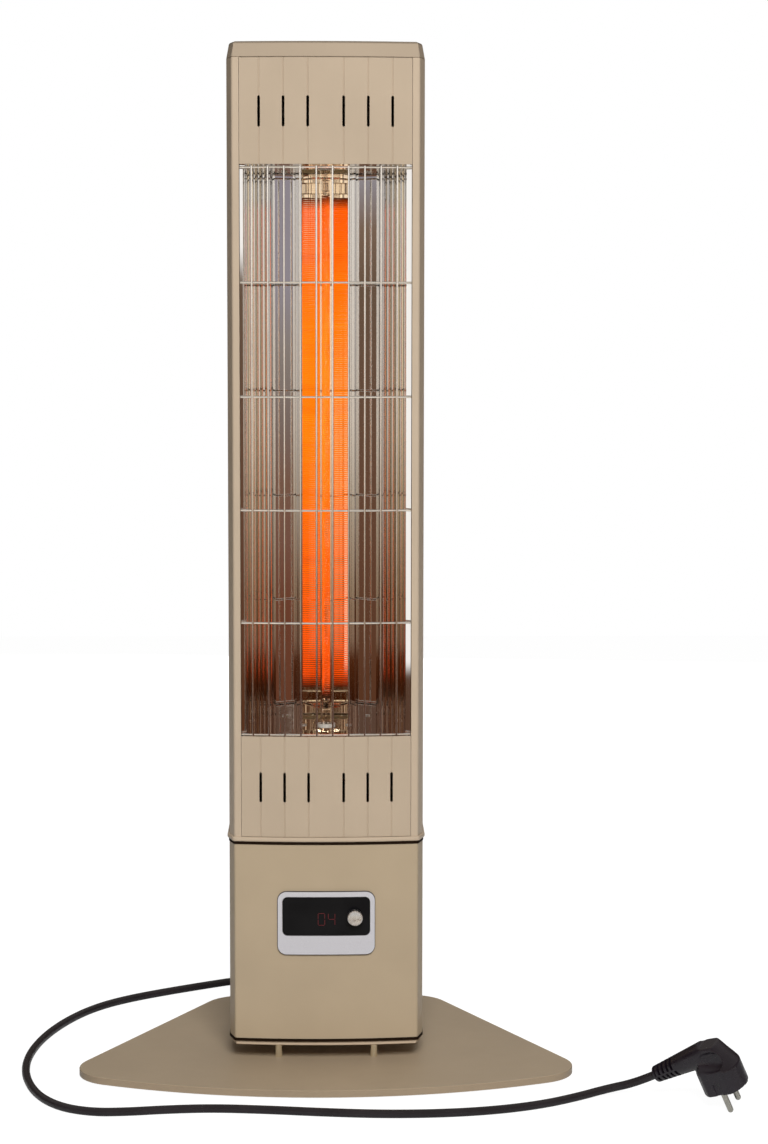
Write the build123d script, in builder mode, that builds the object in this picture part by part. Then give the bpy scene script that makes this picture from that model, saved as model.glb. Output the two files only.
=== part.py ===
from build123d import *

import os
from math import asin, cos, degrees, pi, radians, sin, sqrt, tan

# Infrared patio heater tower: a slim column with a quartz lamp and a bright reflector, on a
# control box that stands on four standoffs above a wide steel base plate.
# Millimetres. The origin is on the floor under the middle of the base plate.
# The front faces -Y, +X is to the right, +Z is up.

# ---------------------------------------------------------------- driving dimensions

# Base plate and what stands on it
plate_depth = 308.0
plate_thickness = 6.0
plate_front_radius = 463.5
plate_front_half_width = 223.5
plate_back_half_width = 98.5
plate_corner_radius = 38.5
plate_edge_round = 0.8
pad_height = 1.5
pad_radius = 10.0
pad_front_inset = (70.4, 24.2)
pad_rear_inset = (26.4, 30.8)
standoff_length = 13.8
standoff_radius = 3.2
standoff_x = 41.0
standoff_front_y = -52.1
standoff_rear_y = 24.0

# Plan of the column and of the control box
half_width = 83.0
crease_half_width = 78.3
front_middle = 69.2
front_crease = 63.7
side_bend = 47.6
back_depth = 44.0
rear_corner_radius = 12.0
crease_round = 2.6
bend_round = 9.0

# Heights, from the bottom cover up
cover_thickness = 3.8
cover_inset = 1.3
cover_edge_round = 1.0
gasket_thickness = 2.4
gasket_overhang = 0.5
box_height = 168.8
box_wall = 1.5
joint_lip = 10.0
flange_thickness = 4.0
flange_overhang = 1.7
flange_edge_round = 1.4
casing_height = 655.0
casing_wall = 1.2
cap_height = 13.3
cap_draft = 10.5
cap_edge_round = 2.4
cap_seam_height = 0.5
cap_seam_depth = 0.8
cap_roof = 2.5
cap_rim = 6.0
cap_boss_radius = 4.0
cap_hole_depth = 6.7

# Front opening of the casing, with the two panels
opening_half_width = 72.3
return_lip_depth = 12.0
panel_sheet = 1.2
panel_gap = 0.3
upper_panel_height = 87.4
lower_panel_height = 86.2
panel_creases = (14.9, 35.3, 55.6)
crease_groove_radius = 0.55
slot_width = 2.25
slot_length = 25.5
upper_slot_drop = 44.0
lower_slot_drop = 43.7

# Guard
guard_rod_radius = 1.0
guard_rod_pitch = 13.5
guard_rod_count = 10
guard_wire_radius = 0.9
guard_wire_count = 6
guard_wire_margin = 2.4
guard_rod_overrun = 1.0
weld_gap = 0.02
guard_end_reach = 2.6
guard_hole_clearance = 0.3

# Reflector and lamp
reflector_sheet = 0.8
reflector_back = 23.0
trough_half_width = 20.6
trough_focus = 24.0
ridge_half_width = 28.4
facet_half_width = 44.0
facet_depth = 5.0
flute_end_half_width = 67.3
flute_end_depth = 70.5
flute_bulge = 1.2
flute_count = 7
flute_ripple = 0.5
rim_half_width = 71.2
rim_depth = 81.0
end_plate_sheet = 0.8
end_plate_margin = 3.2
lamp_y = -3.0
lamp_radius = 5.0
lamp_wall = 1.0
lamp_beyond_plate = 20.0
coil_radius = 3.7
coil_wall = 0.8
coil_above_floor = 26.0
coil_below_ceiling = 22.8
seal_length = 10.0
seal_radius = 3.7
seal_gap = 3.0
lead_rod_radius = 0.8
bushing_radius = 8.0
bushing_bore_clearance = 0.3
bushing_flange = 1.6
bushing_neck = 6.4
holder_radius = 8.5
holder_height = 24.0
holder_socket_depth = 16.0
holder_socket_clearance = 0.1
holder_bracket_sheet = 1.2
holder_bracket_half_span = 15.0
holder_bracket_depth = 18.0
holder_bracket_foot = 9.0
wire_hole_radius = 3.0

# Brackets that carry the reflector
bracket_sheet = 1.5
bracket_height = 24.0
bracket_half_span = 31.0
bracket_foot = 14.0
bracket_inset_from_end = 95.0
seat_gap = 0.2

# Thermal cutout on the upper end plate
cutout_radius = 8.0
cutout_height = 6.0
cutout_x = 36.0
cutout_y = -14.0
cutout_blade = (6.3, 0.8, 8.0)

# Display and knob
bezel_width = 83.6
bezel_height = 55.2
bezel_corner = 8.0
bezel_thickness = 2.2
bezel_edge_round = 0.6
bezel_rise = 73.7
window_width = 74.7
window_height = 33.3
window_corner = 4.5
window_drop = 5.0
window_gap = 0.15
window_thickness = 1.5
surface_gap = 0.05
cutaway_margin = 4.0
knob_x = 24.5
knob_radius = 6.65
knob_length = 8.0
knob_edge_round = 0.7
knob_stop_gap = 0.6
knob_grip_count = 24
knob_grip_radius = 0.35
knob_travel = 0.6
shaft_radius = 3.0
shaft_hole_clearance = 0.4
shaft_socket_depth = 6.0
control_board = (78.0, 38.0, 1.6)
control_board_setback = 12.2
control_post_x = 34.5
control_post_z = 15.5
control_post_radius = 2.6
display_block = (32.0, 16.0, 9.0)
display_x = -1.0
encoder_body_size = (12.4, 13.2, 6.5)
encoder_bore_clearance = 0.06
encoder_bush_radius = 4.4
encoder_bush_length = 2.4
push_pad_radius = 2.2
push_pad_length = 1.4
push_pad_stop_gap = 0.3

# Power electronics in the control box
power_board = (116.0, 92.0, 1.6)
power_board_rise = 54.0
power_post_length = 10.4
power_post_radius = 3.0
power_post_inset = 6.0
relay_size = (30.0, 15.0, 24.0)
relay_at = (-34.0, 30.0)
transformer_size = (32.0, 24.0, 28.0)
transformer_at = (-34.0, -8.0)
sink_base = (44.0, 3.0, 36.0)
sink_fin_height = 18.0
sink_fin_thickness = 1.4
sink_fins_per_side = 3
sink_fin_pitch = 6.0
sink_at = (26.0, 22.0)
triac_size = (10.2, 4.4, 15.5)
terminal_size = (32.0, 15.0, 13.0)
terminal_at = (0.0, -37.0)
terminal_slot = (7.0, 5.0)

# Tilt switch on the bottom cover
tilt_x = -50.0
tilt_y = -12.0
tilt_sheet = 1.6
tilt_gap = 14.0
tilt_depth = 26.0
tilt_height = 46.0
tilt_pin_radius = 1.5
tilt_pin_clearance = 0.06
tilt_pin_drop = 6.0
tilt_arm_length = 26.0
tilt_arm_width = 6.0
tilt_arm_thickness = 3.0
tilt_bob_radius = 6.5
tilt_bob_length = 9.0
tilt_hub_radius = 3.4
tilt_hub_length = 8.0
microswitch_size = (6.4, 20.0, 10.0)

# Fasteners
screw_radius = 2.0
screw_clearance = 0.2
thread_clearance = 0.05
screw_head_radius = 3.8
screw_head_height = 2.4
countersink_radius = 4.0
nut_radius = 4.0
nut_height = 3.2
small_screw_radius = 1.25
small_head_radius = 2.5
small_head_height = 1.6
rivet_radius = 1.6
rivet_head_radius = 2.8
rivet_head_height = 0.9
rivet_end_margin = 15.5
side_screw_inset = 6.5
cover_screw_ys = (-28.0, 18.0)
box_screw_ys = (-40.0, 27.0)
casing_screw_ys = (-20.0, 10.0)
cap_screw_ys = (-32.0, 22.0)
thread_reach = 2.0
cap_screw_bite = 5.5

# Cord, strain relief and plug
cord_diameter = 7.0
bend_share = 0.45
gland_rise = 22.5
relief_flange_radius = 11.0
relief_flange_thickness = 3.0
relief_root_radius = 8.0
relief_tip_radius = 5.2
relief_length = 32.0
relief_neck_radius = 7.0
relief_neck_length = 6.0
relief_straight_run = 22.0
relief_nut_radius = 10.5
inner_lead_radius = 3.2
wire_radius = 1.5
plug_lean = 17.8
plug_roll = 16.8
pin_line_heading = 62.1
plug_face_radius = 19.0
plug_flat_half_width = 16.2
plug_body_height = 40.0
plug_back_half_width = 9.0
plug_back_length = 15.0
plug_back_shift = 0.5
plug_cable_height = 20.6
plug_cable_reach = 56.7
plug_face_round = 1.6
plug_back_round = 3.0
plug_neck_length = 52.0
plug_neck_droop = 12.8
plug_neck_root_radius = 10.0
plug_neck_tip_radius = 5.9
plug_rib_count = 5
plug_rib_pitch = 4.6
plug_rib_gap = 2.0
plug_rib_depth = 1.6
plug_side_height = 20.0
plug_last_run = 22.0
plug_place = (326.3, -188.4)
floor_gap = 0.02
pin_radius = 2.4
pin_length = 19.0
pin_spacing = 19.0
pin_root = 6.0
earth_strip_width = 6.0
earth_strip_thickness = 0.8
earth_strip_length = 15.0
lead_hole_x = 35.0
grommet_radius = 7.0
grommet_overlap = 1.6
grommet_bore = 4.4
upper_lead_x = 56.0
lead_spread = 2.2
lead_drop = 14.0
lead_rise = 24.0
harness_x = 3.0
harness_radius = 2.2
harness_run = 16.0
harness_sag = 14.0

# ---------------------------------------------------------------- derived heights

plate_bottom = pad_height
plate_top = plate_bottom + plate_thickness
cover_bottom = plate_top + standoff_length
cover_top = cover_bottom + cover_thickness
box_bottom = cover_top + gasket_thickness
box_top = box_bottom + box_height
flange_bottom = box_top + gasket_thickness
flange_top = flange_bottom + flange_thickness
casing_top = flange_top + casing_height

lower_panel_bottom = flange_top + panel_gap
lower_panel_top = lower_panel_bottom + lower_panel_height
upper_panel_top = casing_top - panel_gap
upper_panel_bottom = upper_panel_top - upper_panel_height
floor_plate_top = lower_panel_top
ceiling_plate_bottom = upper_panel_bottom
lower_wire_z = lower_panel_top + guard_wire_radius + panel_gap
upper_wire_z = upper_panel_bottom - guard_wire_margin
wire_pitch = (upper_wire_z - lower_wire_z) / (guard_wire_count - 1)
reflector_height = ceiling_plate_bottom - floor_plate_top
floor_plate_bottom = floor_plate_top - end_plate_sheet
ceiling_plate_top = ceiling_plate_bottom + end_plate_sheet

bezel_top = box_bottom + bezel_rise + bezel_height
bezel_z = bezel_top - bezel_height / 2
window_z = bezel_top - window_drop - window_height / 2
gland_z = box_bottom + gland_rise
board_back_y = back_depth - box_wall - power_post_length
board_front_y = board_back_y - power_board[2]
board_middle_y = (board_back_y + board_front_y) / 2
board_z = box_bottom + power_board_rise + power_board[1] / 2
board_top = board_z + power_board[1] / 2

plate_front_y = -plate_depth / 2
plate_back_y = plate_depth / 2
plate_arc_centre = plate_front_y + plate_front_radius
plate_corner_y = plate_arc_centre - sqrt(plate_front_radius ** 2 - plate_front_half_width ** 2)

front_sag = front_middle - front_crease
front_radius = (crease_half_width ** 2 + front_sag ** 2) / (2 * front_sag)


def front_y(x):
    """Y of the convex front surface at a distance x from the middle."""
    return front_radius - front_middle - sqrt(front_radius ** 2 - x ** 2)


def body_plan(inset):
    """Plan of the column, moved inwards by inset, or outwards where inset is negative."""
    with BuildSketch() as plan:
        with BuildLine():
            ThreePointArc((-crease_half_width, -front_crease), (0, -front_middle),
                          (crease_half_width, -front_crease))
            Polyline((crease_half_width, -front_crease), (half_width, -side_bend),
                     (half_width, back_depth), (-half_width, back_depth),
                     (-half_width, -side_bend), (-crease_half_width, -front_crease))
        make_face()
        corners = plan.vertices()
        fillet(corners.filter_by(lambda v: v.Y > 0), rear_corner_radius)
        corners = plan.vertices()
        fillet(corners.filter_by(lambda v: abs(v.Y + side_bend) < 0.01), bend_round)
        corners = plan.vertices()
        fillet(corners.filter_by(lambda v: abs(v.Y + front_crease) < 0.01), crease_round)
        if inset:
            offset(amount=-inset, kind=Kind.INTERSECTION)
    return plan.sketch


column_plan = body_plan(0)

# Screw places that two joined pieces share
side_screw_x = half_width - side_screw_inset
standoff_points = [(x, y) for x in (-standoff_x, standoff_x) for y in (standoff_front_y, standoff_rear_y)]
cover_screw_points = [(x, y) for x in (-side_screw_x, side_screw_x) for y in cover_screw_ys]
box_screw_points = [(x, y) for x in (-side_screw_x, side_screw_x) for y in box_screw_ys]
casing_screw_points = [(x, y) for x in (-side_screw_x, side_screw_x) for y in casing_screw_ys]
cap_screw_points = [(x, y) for x in (-side_screw_x, side_screw_x) for y in cap_screw_ys]
holder_foot_x = holder_bracket_half_span + holder_bracket_foot / 2
holder_rivet_points = [(side * holder_foot_x, lamp_y) for side in (-1, 1)]
pad_points = [(side * (plate_front_half_width - pad_front_inset[0]), plate_corner_y + pad_front_inset[1])
              for side in (-1, 1)]
pad_points += [(side * (plate_back_half_width - pad_rear_inset[0]), plate_back_y - pad_rear_inset[1])
               for side in (-1, 1)]

upwards = (Align.CENTER, Align.CENTER, Align.MIN)

os.makedirs("parts", exist_ok=True)


def save(part, node):
    """Label a finished piece and write its STEP file."""
    part.label = node
    export_step(part, f"parts/{node}.step")


# ---------------------------------------------------------------- shared profiles

def joint_ring(outset):
    """Flat ring that follows the column plan: a gasket or an inward lip."""
    with BuildSketch() as ring:
        add(body_plan(-outset))
        add(body_plan(joint_lip), mode=Mode.SUBTRACT)
    return ring.sketch


def reflector_line():
    """Plan of the reflector's bright face: a trough, a ridge, a facet and a fluted side each way."""
    trough_edge = (trough_half_width, reflector_back - trough_half_width ** 2 / (4 * trough_focus))
    trough_middle = (trough_half_width / 2, reflector_back - trough_half_width ** 2 / (16 * trough_focus))
    facet_end = Vector(facet_half_width, reflector_back - facet_depth)
    flute_end = Vector(flute_end_half_width, reflector_back - flute_end_depth)
    chord = flute_end - facet_end
    outward = Vector(-chord.Y, chord.X).normalized()
    with BuildLine() as line:
        ThreePointArc((0, reflector_back), trough_middle, trough_edge)
        Polyline(trough_edge, (ridge_half_width, reflector_back), (facet_end.X, facet_end.Y))
        start = facet_end
        for step in range(1, flute_count + 1):
            share = step / flute_count
            end = facet_end + chord * share + outward * (4 * flute_bulge * share * (1 - share))
            middle = (start + end) * 0.5
            across = Vector(-(end - start).Y, (end - start).X).normalized()
            ThreePointArc(start, middle + across * flute_ripple, end)
            start = end
        Line(start, (rim_half_width, reflector_back - rim_depth))
        mirror(about=Plane.YZ)
    return line.line


# ---------------------------------------------------------------- base

with BuildPart() as base_plate:
    with BuildSketch(Plane.XY.offset(plate_bottom)) as plate_outline:
        with BuildLine():
            ThreePointArc((-plate_front_half_width, plate_corner_y), (0, plate_front_y),
                          (plate_front_half_width, plate_corner_y))
            Polyline((plate_front_half_width, plate_corner_y), (plate_back_half_width, plate_back_y),
                     (-plate_back_half_width, plate_back_y), (-plate_front_half_width, plate_corner_y))
        make_face()
        fillet(plate_outline.vertices(), plate_corner_radius)
    extrude(amount=plate_thickness)
    fillet(base_plate.faces().sort_by(Axis.Z)[-1].edges(), plate_edge_round)
    with Locations(*[(x, y, plate_bottom) for x, y in standoff_points]):
        Cylinder(screw_radius + screw_clearance, plate_thickness, align=upwards, mode=Mode.SUBTRACT)
        Cone(countersink_radius + screw_clearance, screw_radius + screw_clearance,
             countersink_radius - screw_radius, align=upwards, mode=Mode.SUBTRACT)
save(base_plate.part, "base_plate")

with BuildPart() as base_pads:
    with BuildSketch():
        with Locations(*pad_points):
            Circle(pad_radius)
    extrude(amount=pad_height)
save(base_pads.part, "base_pads")

with BuildPart() as standoffs:
    with BuildSketch(Plane.XY.offset(plate_top)):
        with Locations(*standoff_points):
            Circle(standoff_radius)
            Circle(screw_radius + screw_clearance, mode=Mode.SUBTRACT)
    extrude(amount=standoff_length)
save(standoffs.part, "standoffs")

with BuildPart() as base_nuts:
    with BuildSketch(Plane.XY.offset(cover_top)):
        with Locations(*standoff_points):
            RegularPolygon(nut_radius, 6)
            Circle(screw_radius + thread_clearance, mode=Mode.SUBTRACT)
    extrude(amount=nut_height)
save(base_nuts.part, "base_nuts")

# ---------------------------------------------------------------- control box shell

with BuildPart() as bottom_cover:
    with BuildSketch(Plane.XY.offset(cover_bottom)):
        add(body_plan(cover_inset))
    extrude(amount=cover_thickness)
    fillet(bottom_cover.faces().sort_by(Axis.Z)[0].edges(), cover_edge_round)
    with BuildSketch(Plane.XY.offset(cover_bottom)):
        with Locations(*standoff_points, *cover_screw_points):
            Circle(screw_radius + screw_clearance)
    extrude(amount=cover_thickness, mode=Mode.SUBTRACT)
save(bottom_cover.part, "bottom_cover")

with BuildPart() as bottom_gasket:
    with BuildSketch(Plane.XY.offset(cover_top)):
        add(joint_ring(gasket_overhang))
        with Locations(*cover_screw_points):
            Circle(screw_radius + screw_clearance, mode=Mode.SUBTRACT)
    extrude(amount=gasket_thickness)
save(bottom_gasket.part, "bottom_gasket")

with BuildPart() as control_box:
    with BuildSketch(Plane.XY.offset(box_bottom)):
        add(column_plan)
        add(body_plan(joint_lip), mode=Mode.SUBTRACT)
    extrude(amount=box_height)
    with BuildSketch(Plane.XY.offset(box_bottom + box_wall)):
        add(body_plan(box_wall))
    extrude(amount=box_height - 2 * box_wall, mode=Mode.SUBTRACT)
    with BuildSketch(Plane.XY.offset(box_bottom)):
        with Locations(*cover_screw_points):
            Circle(screw_radius + thread_clearance)
    extrude(amount=box_wall, mode=Mode.SUBTRACT)
    with BuildSketch(Plane.XY.offset(box_top - box_wall)):
        with Locations(*box_screw_points):
            Circle(screw_radius + thread_clearance)
    extrude(amount=box_wall, mode=Mode.SUBTRACT)
    # Cutaway behind the display window
    with BuildSketch(Plane.XZ.offset(front_crease - 2 * box_wall)):
        with Locations((0, window_z)):
            Rectangle(window_width - 2 * cutaway_margin, window_height - 2 * cutaway_margin)
    extrude(amount=front_middle - front_crease + 4 * box_wall, mode=Mode.SUBTRACT)
    # Hole for the strain relief
    with BuildSketch(Plane.XZ.offset(-back_depth)):
        with Locations((0, gland_z)):
            Circle(relief_neck_radius + thread_clearance)
    extrude(amount=box_wall, mode=Mode.SUBTRACT)
save(control_box.part, "control_box")

# ---------------------------------------------------------------- joint between box and column

with BuildPart() as column_gasket:
    with BuildSketch(Plane.XY.offset(box_top)):
        add(joint_ring(gasket_overhang))
        with Locations(*box_screw_points):
            Circle(screw_radius + screw_clearance, mode=Mode.SUBTRACT)
    extrude(amount=gasket_thickness)
save(column_gasket.part, "column_gasket")

with BuildPart() as column_flange:
    with BuildSketch(Plane.XY.offset(flange_bottom)):
        add(body_plan(-flange_overhang))
        with Locations(*box_screw_points, *casing_screw_points):
            Circle(screw_radius + screw_clearance, mode=Mode.SUBTRACT)
        with Locations((lead_hole_x, board_middle_y)):
            Circle(grommet_radius - grommet_overlap, mode=Mode.SUBTRACT)
    extrude(amount=flange_thickness)
    flat_faces = column_flange.faces().sort_by(Axis.Z)
    fillet(flat_faces[0].outer_wire().edges() + flat_faces[-1].outer_wire().edges(), flange_edge_round)
    with Locations(*[(x, y, flange_bottom) for x, y in casing_screw_points]):
        Cone(countersink_radius + screw_clearance, screw_radius + screw_clearance,
             countersink_radius - screw_radius, align=upwards, mode=Mode.SUBTRACT)
save(column_flange.part, "column_flange")

with BuildPart() as lead_grommet:
    with BuildSketch(Plane.XY.offset(flange_top)):
        with Locations((lead_hole_x, board_middle_y)):
            Circle(grommet_radius)
    extrude(amount=grommet_overlap)
    with BuildSketch(Plane.XY.offset(flange_bottom)):
        with Locations((lead_hole_x, board_middle_y)):
            Circle(grommet_radius - grommet_overlap - thread_clearance)
    extrude(amount=flange_thickness)
    with BuildSketch(Plane.XY.offset(flange_bottom)):
        with Locations((lead_hole_x, board_middle_y)):
            Circle(grommet_bore)
    extrude(amount=flange_thickness + grommet_overlap, mode=Mode.SUBTRACT)
save(lead_grommet.part, "lead_grommet")

# ---------------------------------------------------------------- column casing

lip_middle_x = opening_half_width + casing_wall / 2
lip_front_y = front_y(opening_half_width)
lip_back_y = lip_front_y + return_lip_depth

with BuildSketch() as casing_void:
    add(body_plan(casing_wall))
    with Locations((lip_middle_x, lip_back_y), (-lip_middle_x, lip_back_y)):
        Rectangle(casing_wall, 2 * return_lip_depth, align=(Align.CENTER, Align.MAX), mode=Mode.SUBTRACT)
    with Locations((0, lip_back_y)):
        Rectangle(2 * opening_half_width, 2 * return_lip_depth, align=(Align.CENTER, Align.MAX))

with BuildSketch() as casing_end_lip:
    add(column_plan)
    add(body_plan(joint_lip), mode=Mode.SUBTRACT)
    with Locations((0, lip_back_y)):
        Rectangle(3 * half_width, 3 * return_lip_depth, align=(Align.CENTER, Align.MAX), mode=Mode.SUBTRACT)

guard_arc_radius = front_radius - casing_wall - guard_hole_clearance - guard_wire_radius
guard_axis_y = front_radius - front_middle
guard_wire_zs = [lower_wire_z + wire_pitch * step for step in range(guard_wire_count)]
rivet_y = lip_front_y + return_lip_depth - 2 * rivet_head_radius
rivet_zs = [lower_panel_bottom + rivet_end_margin, lower_panel_top - rivet_end_margin,
            upper_panel_bottom + rivet_end_margin, upper_panel_top - rivet_end_margin]
bracket_zs = (floor_plate_top + bracket_inset_from_end, ceiling_plate_bottom - bracket_inset_from_end)
bracket_foot_x = bracket_half_span + bracket_sheet + bracket_foot / 2
bracket_screw_points = [(side * bracket_foot_x, z) for side in (-1, 1) for z in bracket_zs]


def guard_wire_y(x):
    """Y of the centre line of the guard's cross wires."""
    return guard_axis_y - sqrt(guard_arc_radius ** 2 - x ** 2)


with BuildPart() as column_casing:
    with BuildSketch(Plane.XY.offset(flange_top)):
        add(column_plan)
        add(casing_void.sketch, mode=Mode.SUBTRACT)
    extrude(amount=casing_height)
    with BuildSketch(Plane.XY.offset(flange_top)):
        add(casing_end_lip.sketch)
        with Locations(*casing_screw_points):
            Circle(screw_radius + thread_clearance, mode=Mode.SUBTRACT)
        with Locations(*box_screw_points):
            Circle(screw_head_radius + screw_clearance, mode=Mode.SUBTRACT)
        with Locations((lead_hole_x, board_middle_y)):
            Circle(grommet_radius + screw_clearance, mode=Mode.SUBTRACT)
    extrude(amount=casing_wall)
    with BuildSketch(Plane.XY.offset(casing_top - casing_wall)):
        add(casing_end_lip.sketch)
        with Locations(*cap_screw_points):
            Circle(screw_radius + screw_clearance, mode=Mode.SUBTRACT)
    extrude(amount=casing_wall)
    # Holes in the return lips for the guard's wire ends and for the panel rivets
    with BuildSketch(Plane.YZ.offset(-lip_middle_x - casing_wall)):
        with Locations(*[(guard_wire_y(lip_middle_x), z) for z in guard_wire_zs]):
            Circle(guard_wire_radius + guard_hole_clearance)
        with Locations(*[(rivet_y, z) for z in rivet_zs]):
            Circle(rivet_radius + thread_clearance)
    extrude(amount=2 * casing_wall, mode=Mode.SUBTRACT)
    with BuildSketch(Plane.YZ.offset(lip_middle_x - casing_wall)):
        with Locations(*[(guard_wire_y(lip_middle_x), z) for z in guard_wire_zs]):
            Circle(guard_wire_radius + guard_hole_clearance)
        with Locations(*[(rivet_y, z) for z in rivet_zs]):
            Circle(rivet_radius + thread_clearance)
    extrude(amount=2 * casing_wall, mode=Mode.SUBTRACT)
    with BuildSketch(Plane.XZ.offset(-back_depth)):
        with Locations(*bracket_screw_points):
            Circle(screw_radius + screw_clearance)
    extrude(amount=casing_wall, mode=Mode.SUBTRACT)
save(column_casing.part, "column_casing")

with BuildPart() as top_cap:
    with BuildSketch(Plane.XY.offset(casing_top)):
        add(column_plan)
    extrude(amount=cap_height, taper=cap_draft)
    fillet(top_cap.faces().sort_by(Axis.Z)[-1].edges(), cap_edge_round)
    # Shadow seam between the casing and the cap
    with BuildSketch(Plane.XY.offset(casing_top)):
        add(column_plan)
        add(body_plan(cap_seam_depth), mode=Mode.SUBTRACT)
    extrude(amount=cap_seam_height, mode=Mode.SUBTRACT)
    with BuildSketch(Plane.XY.offset(casing_top)):
        add(body_plan(cap_rim))
        with Locations(*cap_screw_points):
            Circle(cap_boss_radius, mode=Mode.SUBTRACT)
    extrude(amount=cap_height - cap_roof, mode=Mode.SUBTRACT)
    with BuildSketch(Plane.XY.offset(casing_top)):
        with Locations(*cap_screw_points):
            Circle(screw_radius + thread_clearance)
    extrude(amount=cap_hole_depth, mode=Mode.SUBTRACT)
save(top_cap.part, "top_cap")

# ---------------------------------------------------------------- slotted panels

panel_half_width = opening_half_width - panel_gap
panel_back_y = lip_back_y - panel_gap
panel_stations = [-panel_half_width, *[-x for x in reversed(panel_creases)], *panel_creases, panel_half_width]


def slotted_panel(bottom, height, slot_middle_drop):
    """Sheet folded into flat facets, with a flange at each side and a row of slots on its creases."""
    with BuildPart() as panel:
        with BuildSketch(Plane.XY.offset(bottom)):
            with BuildLine():
                Polyline(*[(x, front_y(x)) for x in panel_stations], (panel_half_width, panel_back_y),
                         (-panel_half_width, panel_back_y), close=True)
            make_face()
            with BuildLine():
                inner_half = panel_half_width - panel_sheet
                inner = [(max(-inner_half, min(inner_half, x)), front_y(x) + panel_sheet)
                         for x in panel_stations]
                Polyline(*inner, (inner_half, panel_back_y + panel_sheet),
                         (-inner_half, panel_back_y + panel_sheet), close=True)
            make_face(mode=Mode.SUBTRACT)
            with Locations(*[(x, front_y(x)) for x in panel_stations[1:-1]]):
                Circle(crease_groove_radius, mode=Mode.SUBTRACT)
        extrude(amount=height)
        with BuildSketch(Plane.XZ.offset(front_crease - 3 * panel_sheet)):
            with Locations(*[(x, bottom + height - slot_middle_drop) for x in panel_stations[1:-1]]):
                SlotOverall(slot_length, slot_width, rotation=90)
        extrude(amount=front_middle - front_crease + 6 * panel_sheet, mode=Mode.SUBTRACT)
        with BuildSketch(Plane.YZ.offset(-half_width)):
            with Locations(*[(rivet_y, z) for z in rivet_zs]):
                Circle(rivet_radius + thread_clearance)
        extrude(amount=2 * half_width, mode=Mode.SUBTRACT)
    return panel.part


save(slotted_panel(upper_panel_bottom, upper_panel_height, upper_slot_drop), "upper_panel")
save(slotted_panel(lower_panel_bottom, lower_panel_height, lower_slot_drop), "lower_panel")

# ---------------------------------------------------------------- guard

rod_xs = [guard_rod_pitch * (step - (guard_rod_count - 1) / 2) for step in range(guard_rod_count)]
rod_forward = guard_wire_radius + guard_rod_radius + weld_gap
guard_end_angle = degrees(asin((opening_half_width + guard_end_reach) / guard_arc_radius))

with BuildPart() as front_guard:
    with BuildSketch(Plane.XY.offset(lower_wire_z - guard_rod_overrun)):
        with Locations(*[(x, guard_wire_y(x) - rod_forward) for x in rod_xs]):
            Circle(guard_rod_radius)
    extrude(amount=upper_wire_z - lower_wire_z + 2 * guard_rod_overrun)
    for z in guard_wire_zs:
        with BuildLine(Plane.XY.offset(z)):
            CenterArc((0, guard_axis_y), guard_arc_radius, -90 - guard_end_angle, 2 * guard_end_angle)
        start_angle = radians(-90 - guard_end_angle)
        start_x = guard_arc_radius * cos(start_angle)
        start_y = guard_axis_y + guard_arc_radius * sin(start_angle)
        along_wire = (-sin(start_angle), cos(start_angle), 0)
        with BuildSketch(Plane((start_x, start_y, z), x_dir=(0, 0, 1), z_dir=along_wire)):
            Circle(guard_wire_radius)
        sweep()
save(front_guard.part, "front_guard")

# ---------------------------------------------------------------- reflector

with BuildPart() as reflector:
    with BuildSketch(Plane.XY.offset(floor_plate_top)):
        with BuildLine():
            add(reflector_line())
            offset(amount=reflector_sheet, side=Side.LEFT)
        make_face()
    extrude(amount=reflector_height)
save(reflector.part, "reflector")


def end_plate(bottom):
    """Bright plate that closes the reflector's end, with a hole for the lamp."""
    with BuildPart() as plate:
        with BuildSketch(Plane.XY.offset(bottom)):
            with BuildLine():
                edge_x = panel_half_width - panel_sheet - panel_gap
                edge_y = front_y(edge_x) + panel_sheet + 2 * panel_gap
                ThreePointArc((-edge_x, edge_y), (0, -front_middle + panel_sheet + 2 * panel_gap),
                              (edge_x, edge_y))
                side_points = [(edge_x, reflector_back - flute_end_depth),
                               (facet_half_width + end_plate_margin,
                                reflector_back - facet_depth + end_plate_margin),
                               (ridge_half_width + end_plate_margin / 2,
                                reflector_back + end_plate_margin / 2)]
                Polyline((edge_x, edge_y), *side_points, *[(-x, y) for x, y in reversed(side_points)],
                         (-edge_x, edge_y))
            make_face()
            with Locations((0, lamp_y)):
                Circle(bushing_neck, mode=Mode.SUBTRACT)
            with Locations(*holder_rivet_points):
                Circle(rivet_radius + thread_clearance, mode=Mode.SUBTRACT)
        extrude(amount=end_plate_sheet)
    return plate.part


save(end_plate(floor_plate_bottom), "reflector_floor")
save(end_plate(ceiling_plate_bottom), "reflector_ceiling")

# ---------------------------------------------------------------- lamp

floor_lamp_end = floor_plate_bottom - lamp_beyond_plate
ceiling_lamp_end = ceiling_plate_top + lamp_beyond_plate
lamp_length = ceiling_lamp_end - floor_lamp_end
coil_bottom = floor_plate_top + coil_above_floor
coil_top = ceiling_plate_bottom - coil_below_ceiling

with BuildPart() as lamp_tube:
    with BuildSketch(Plane.XY.offset(floor_lamp_end)):
        with Locations((0, lamp_y)):
            Circle(lamp_radius)
            Circle(lamp_radius - lamp_wall, mode=Mode.SUBTRACT)
    extrude(amount=lamp_length)
save(lamp_tube.part, "lamp_tube")

with BuildPart() as heating_coil:
    with BuildSketch(Plane.XY.offset(coil_bottom)):
        with Locations((0, lamp_y)):
            Circle(coil_radius)
            Circle(coil_radius - coil_wall, mode=Mode.SUBTRACT)
    extrude(amount=coil_top - coil_bottom)
save(heating_coil.part, "heating_coil")

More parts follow.
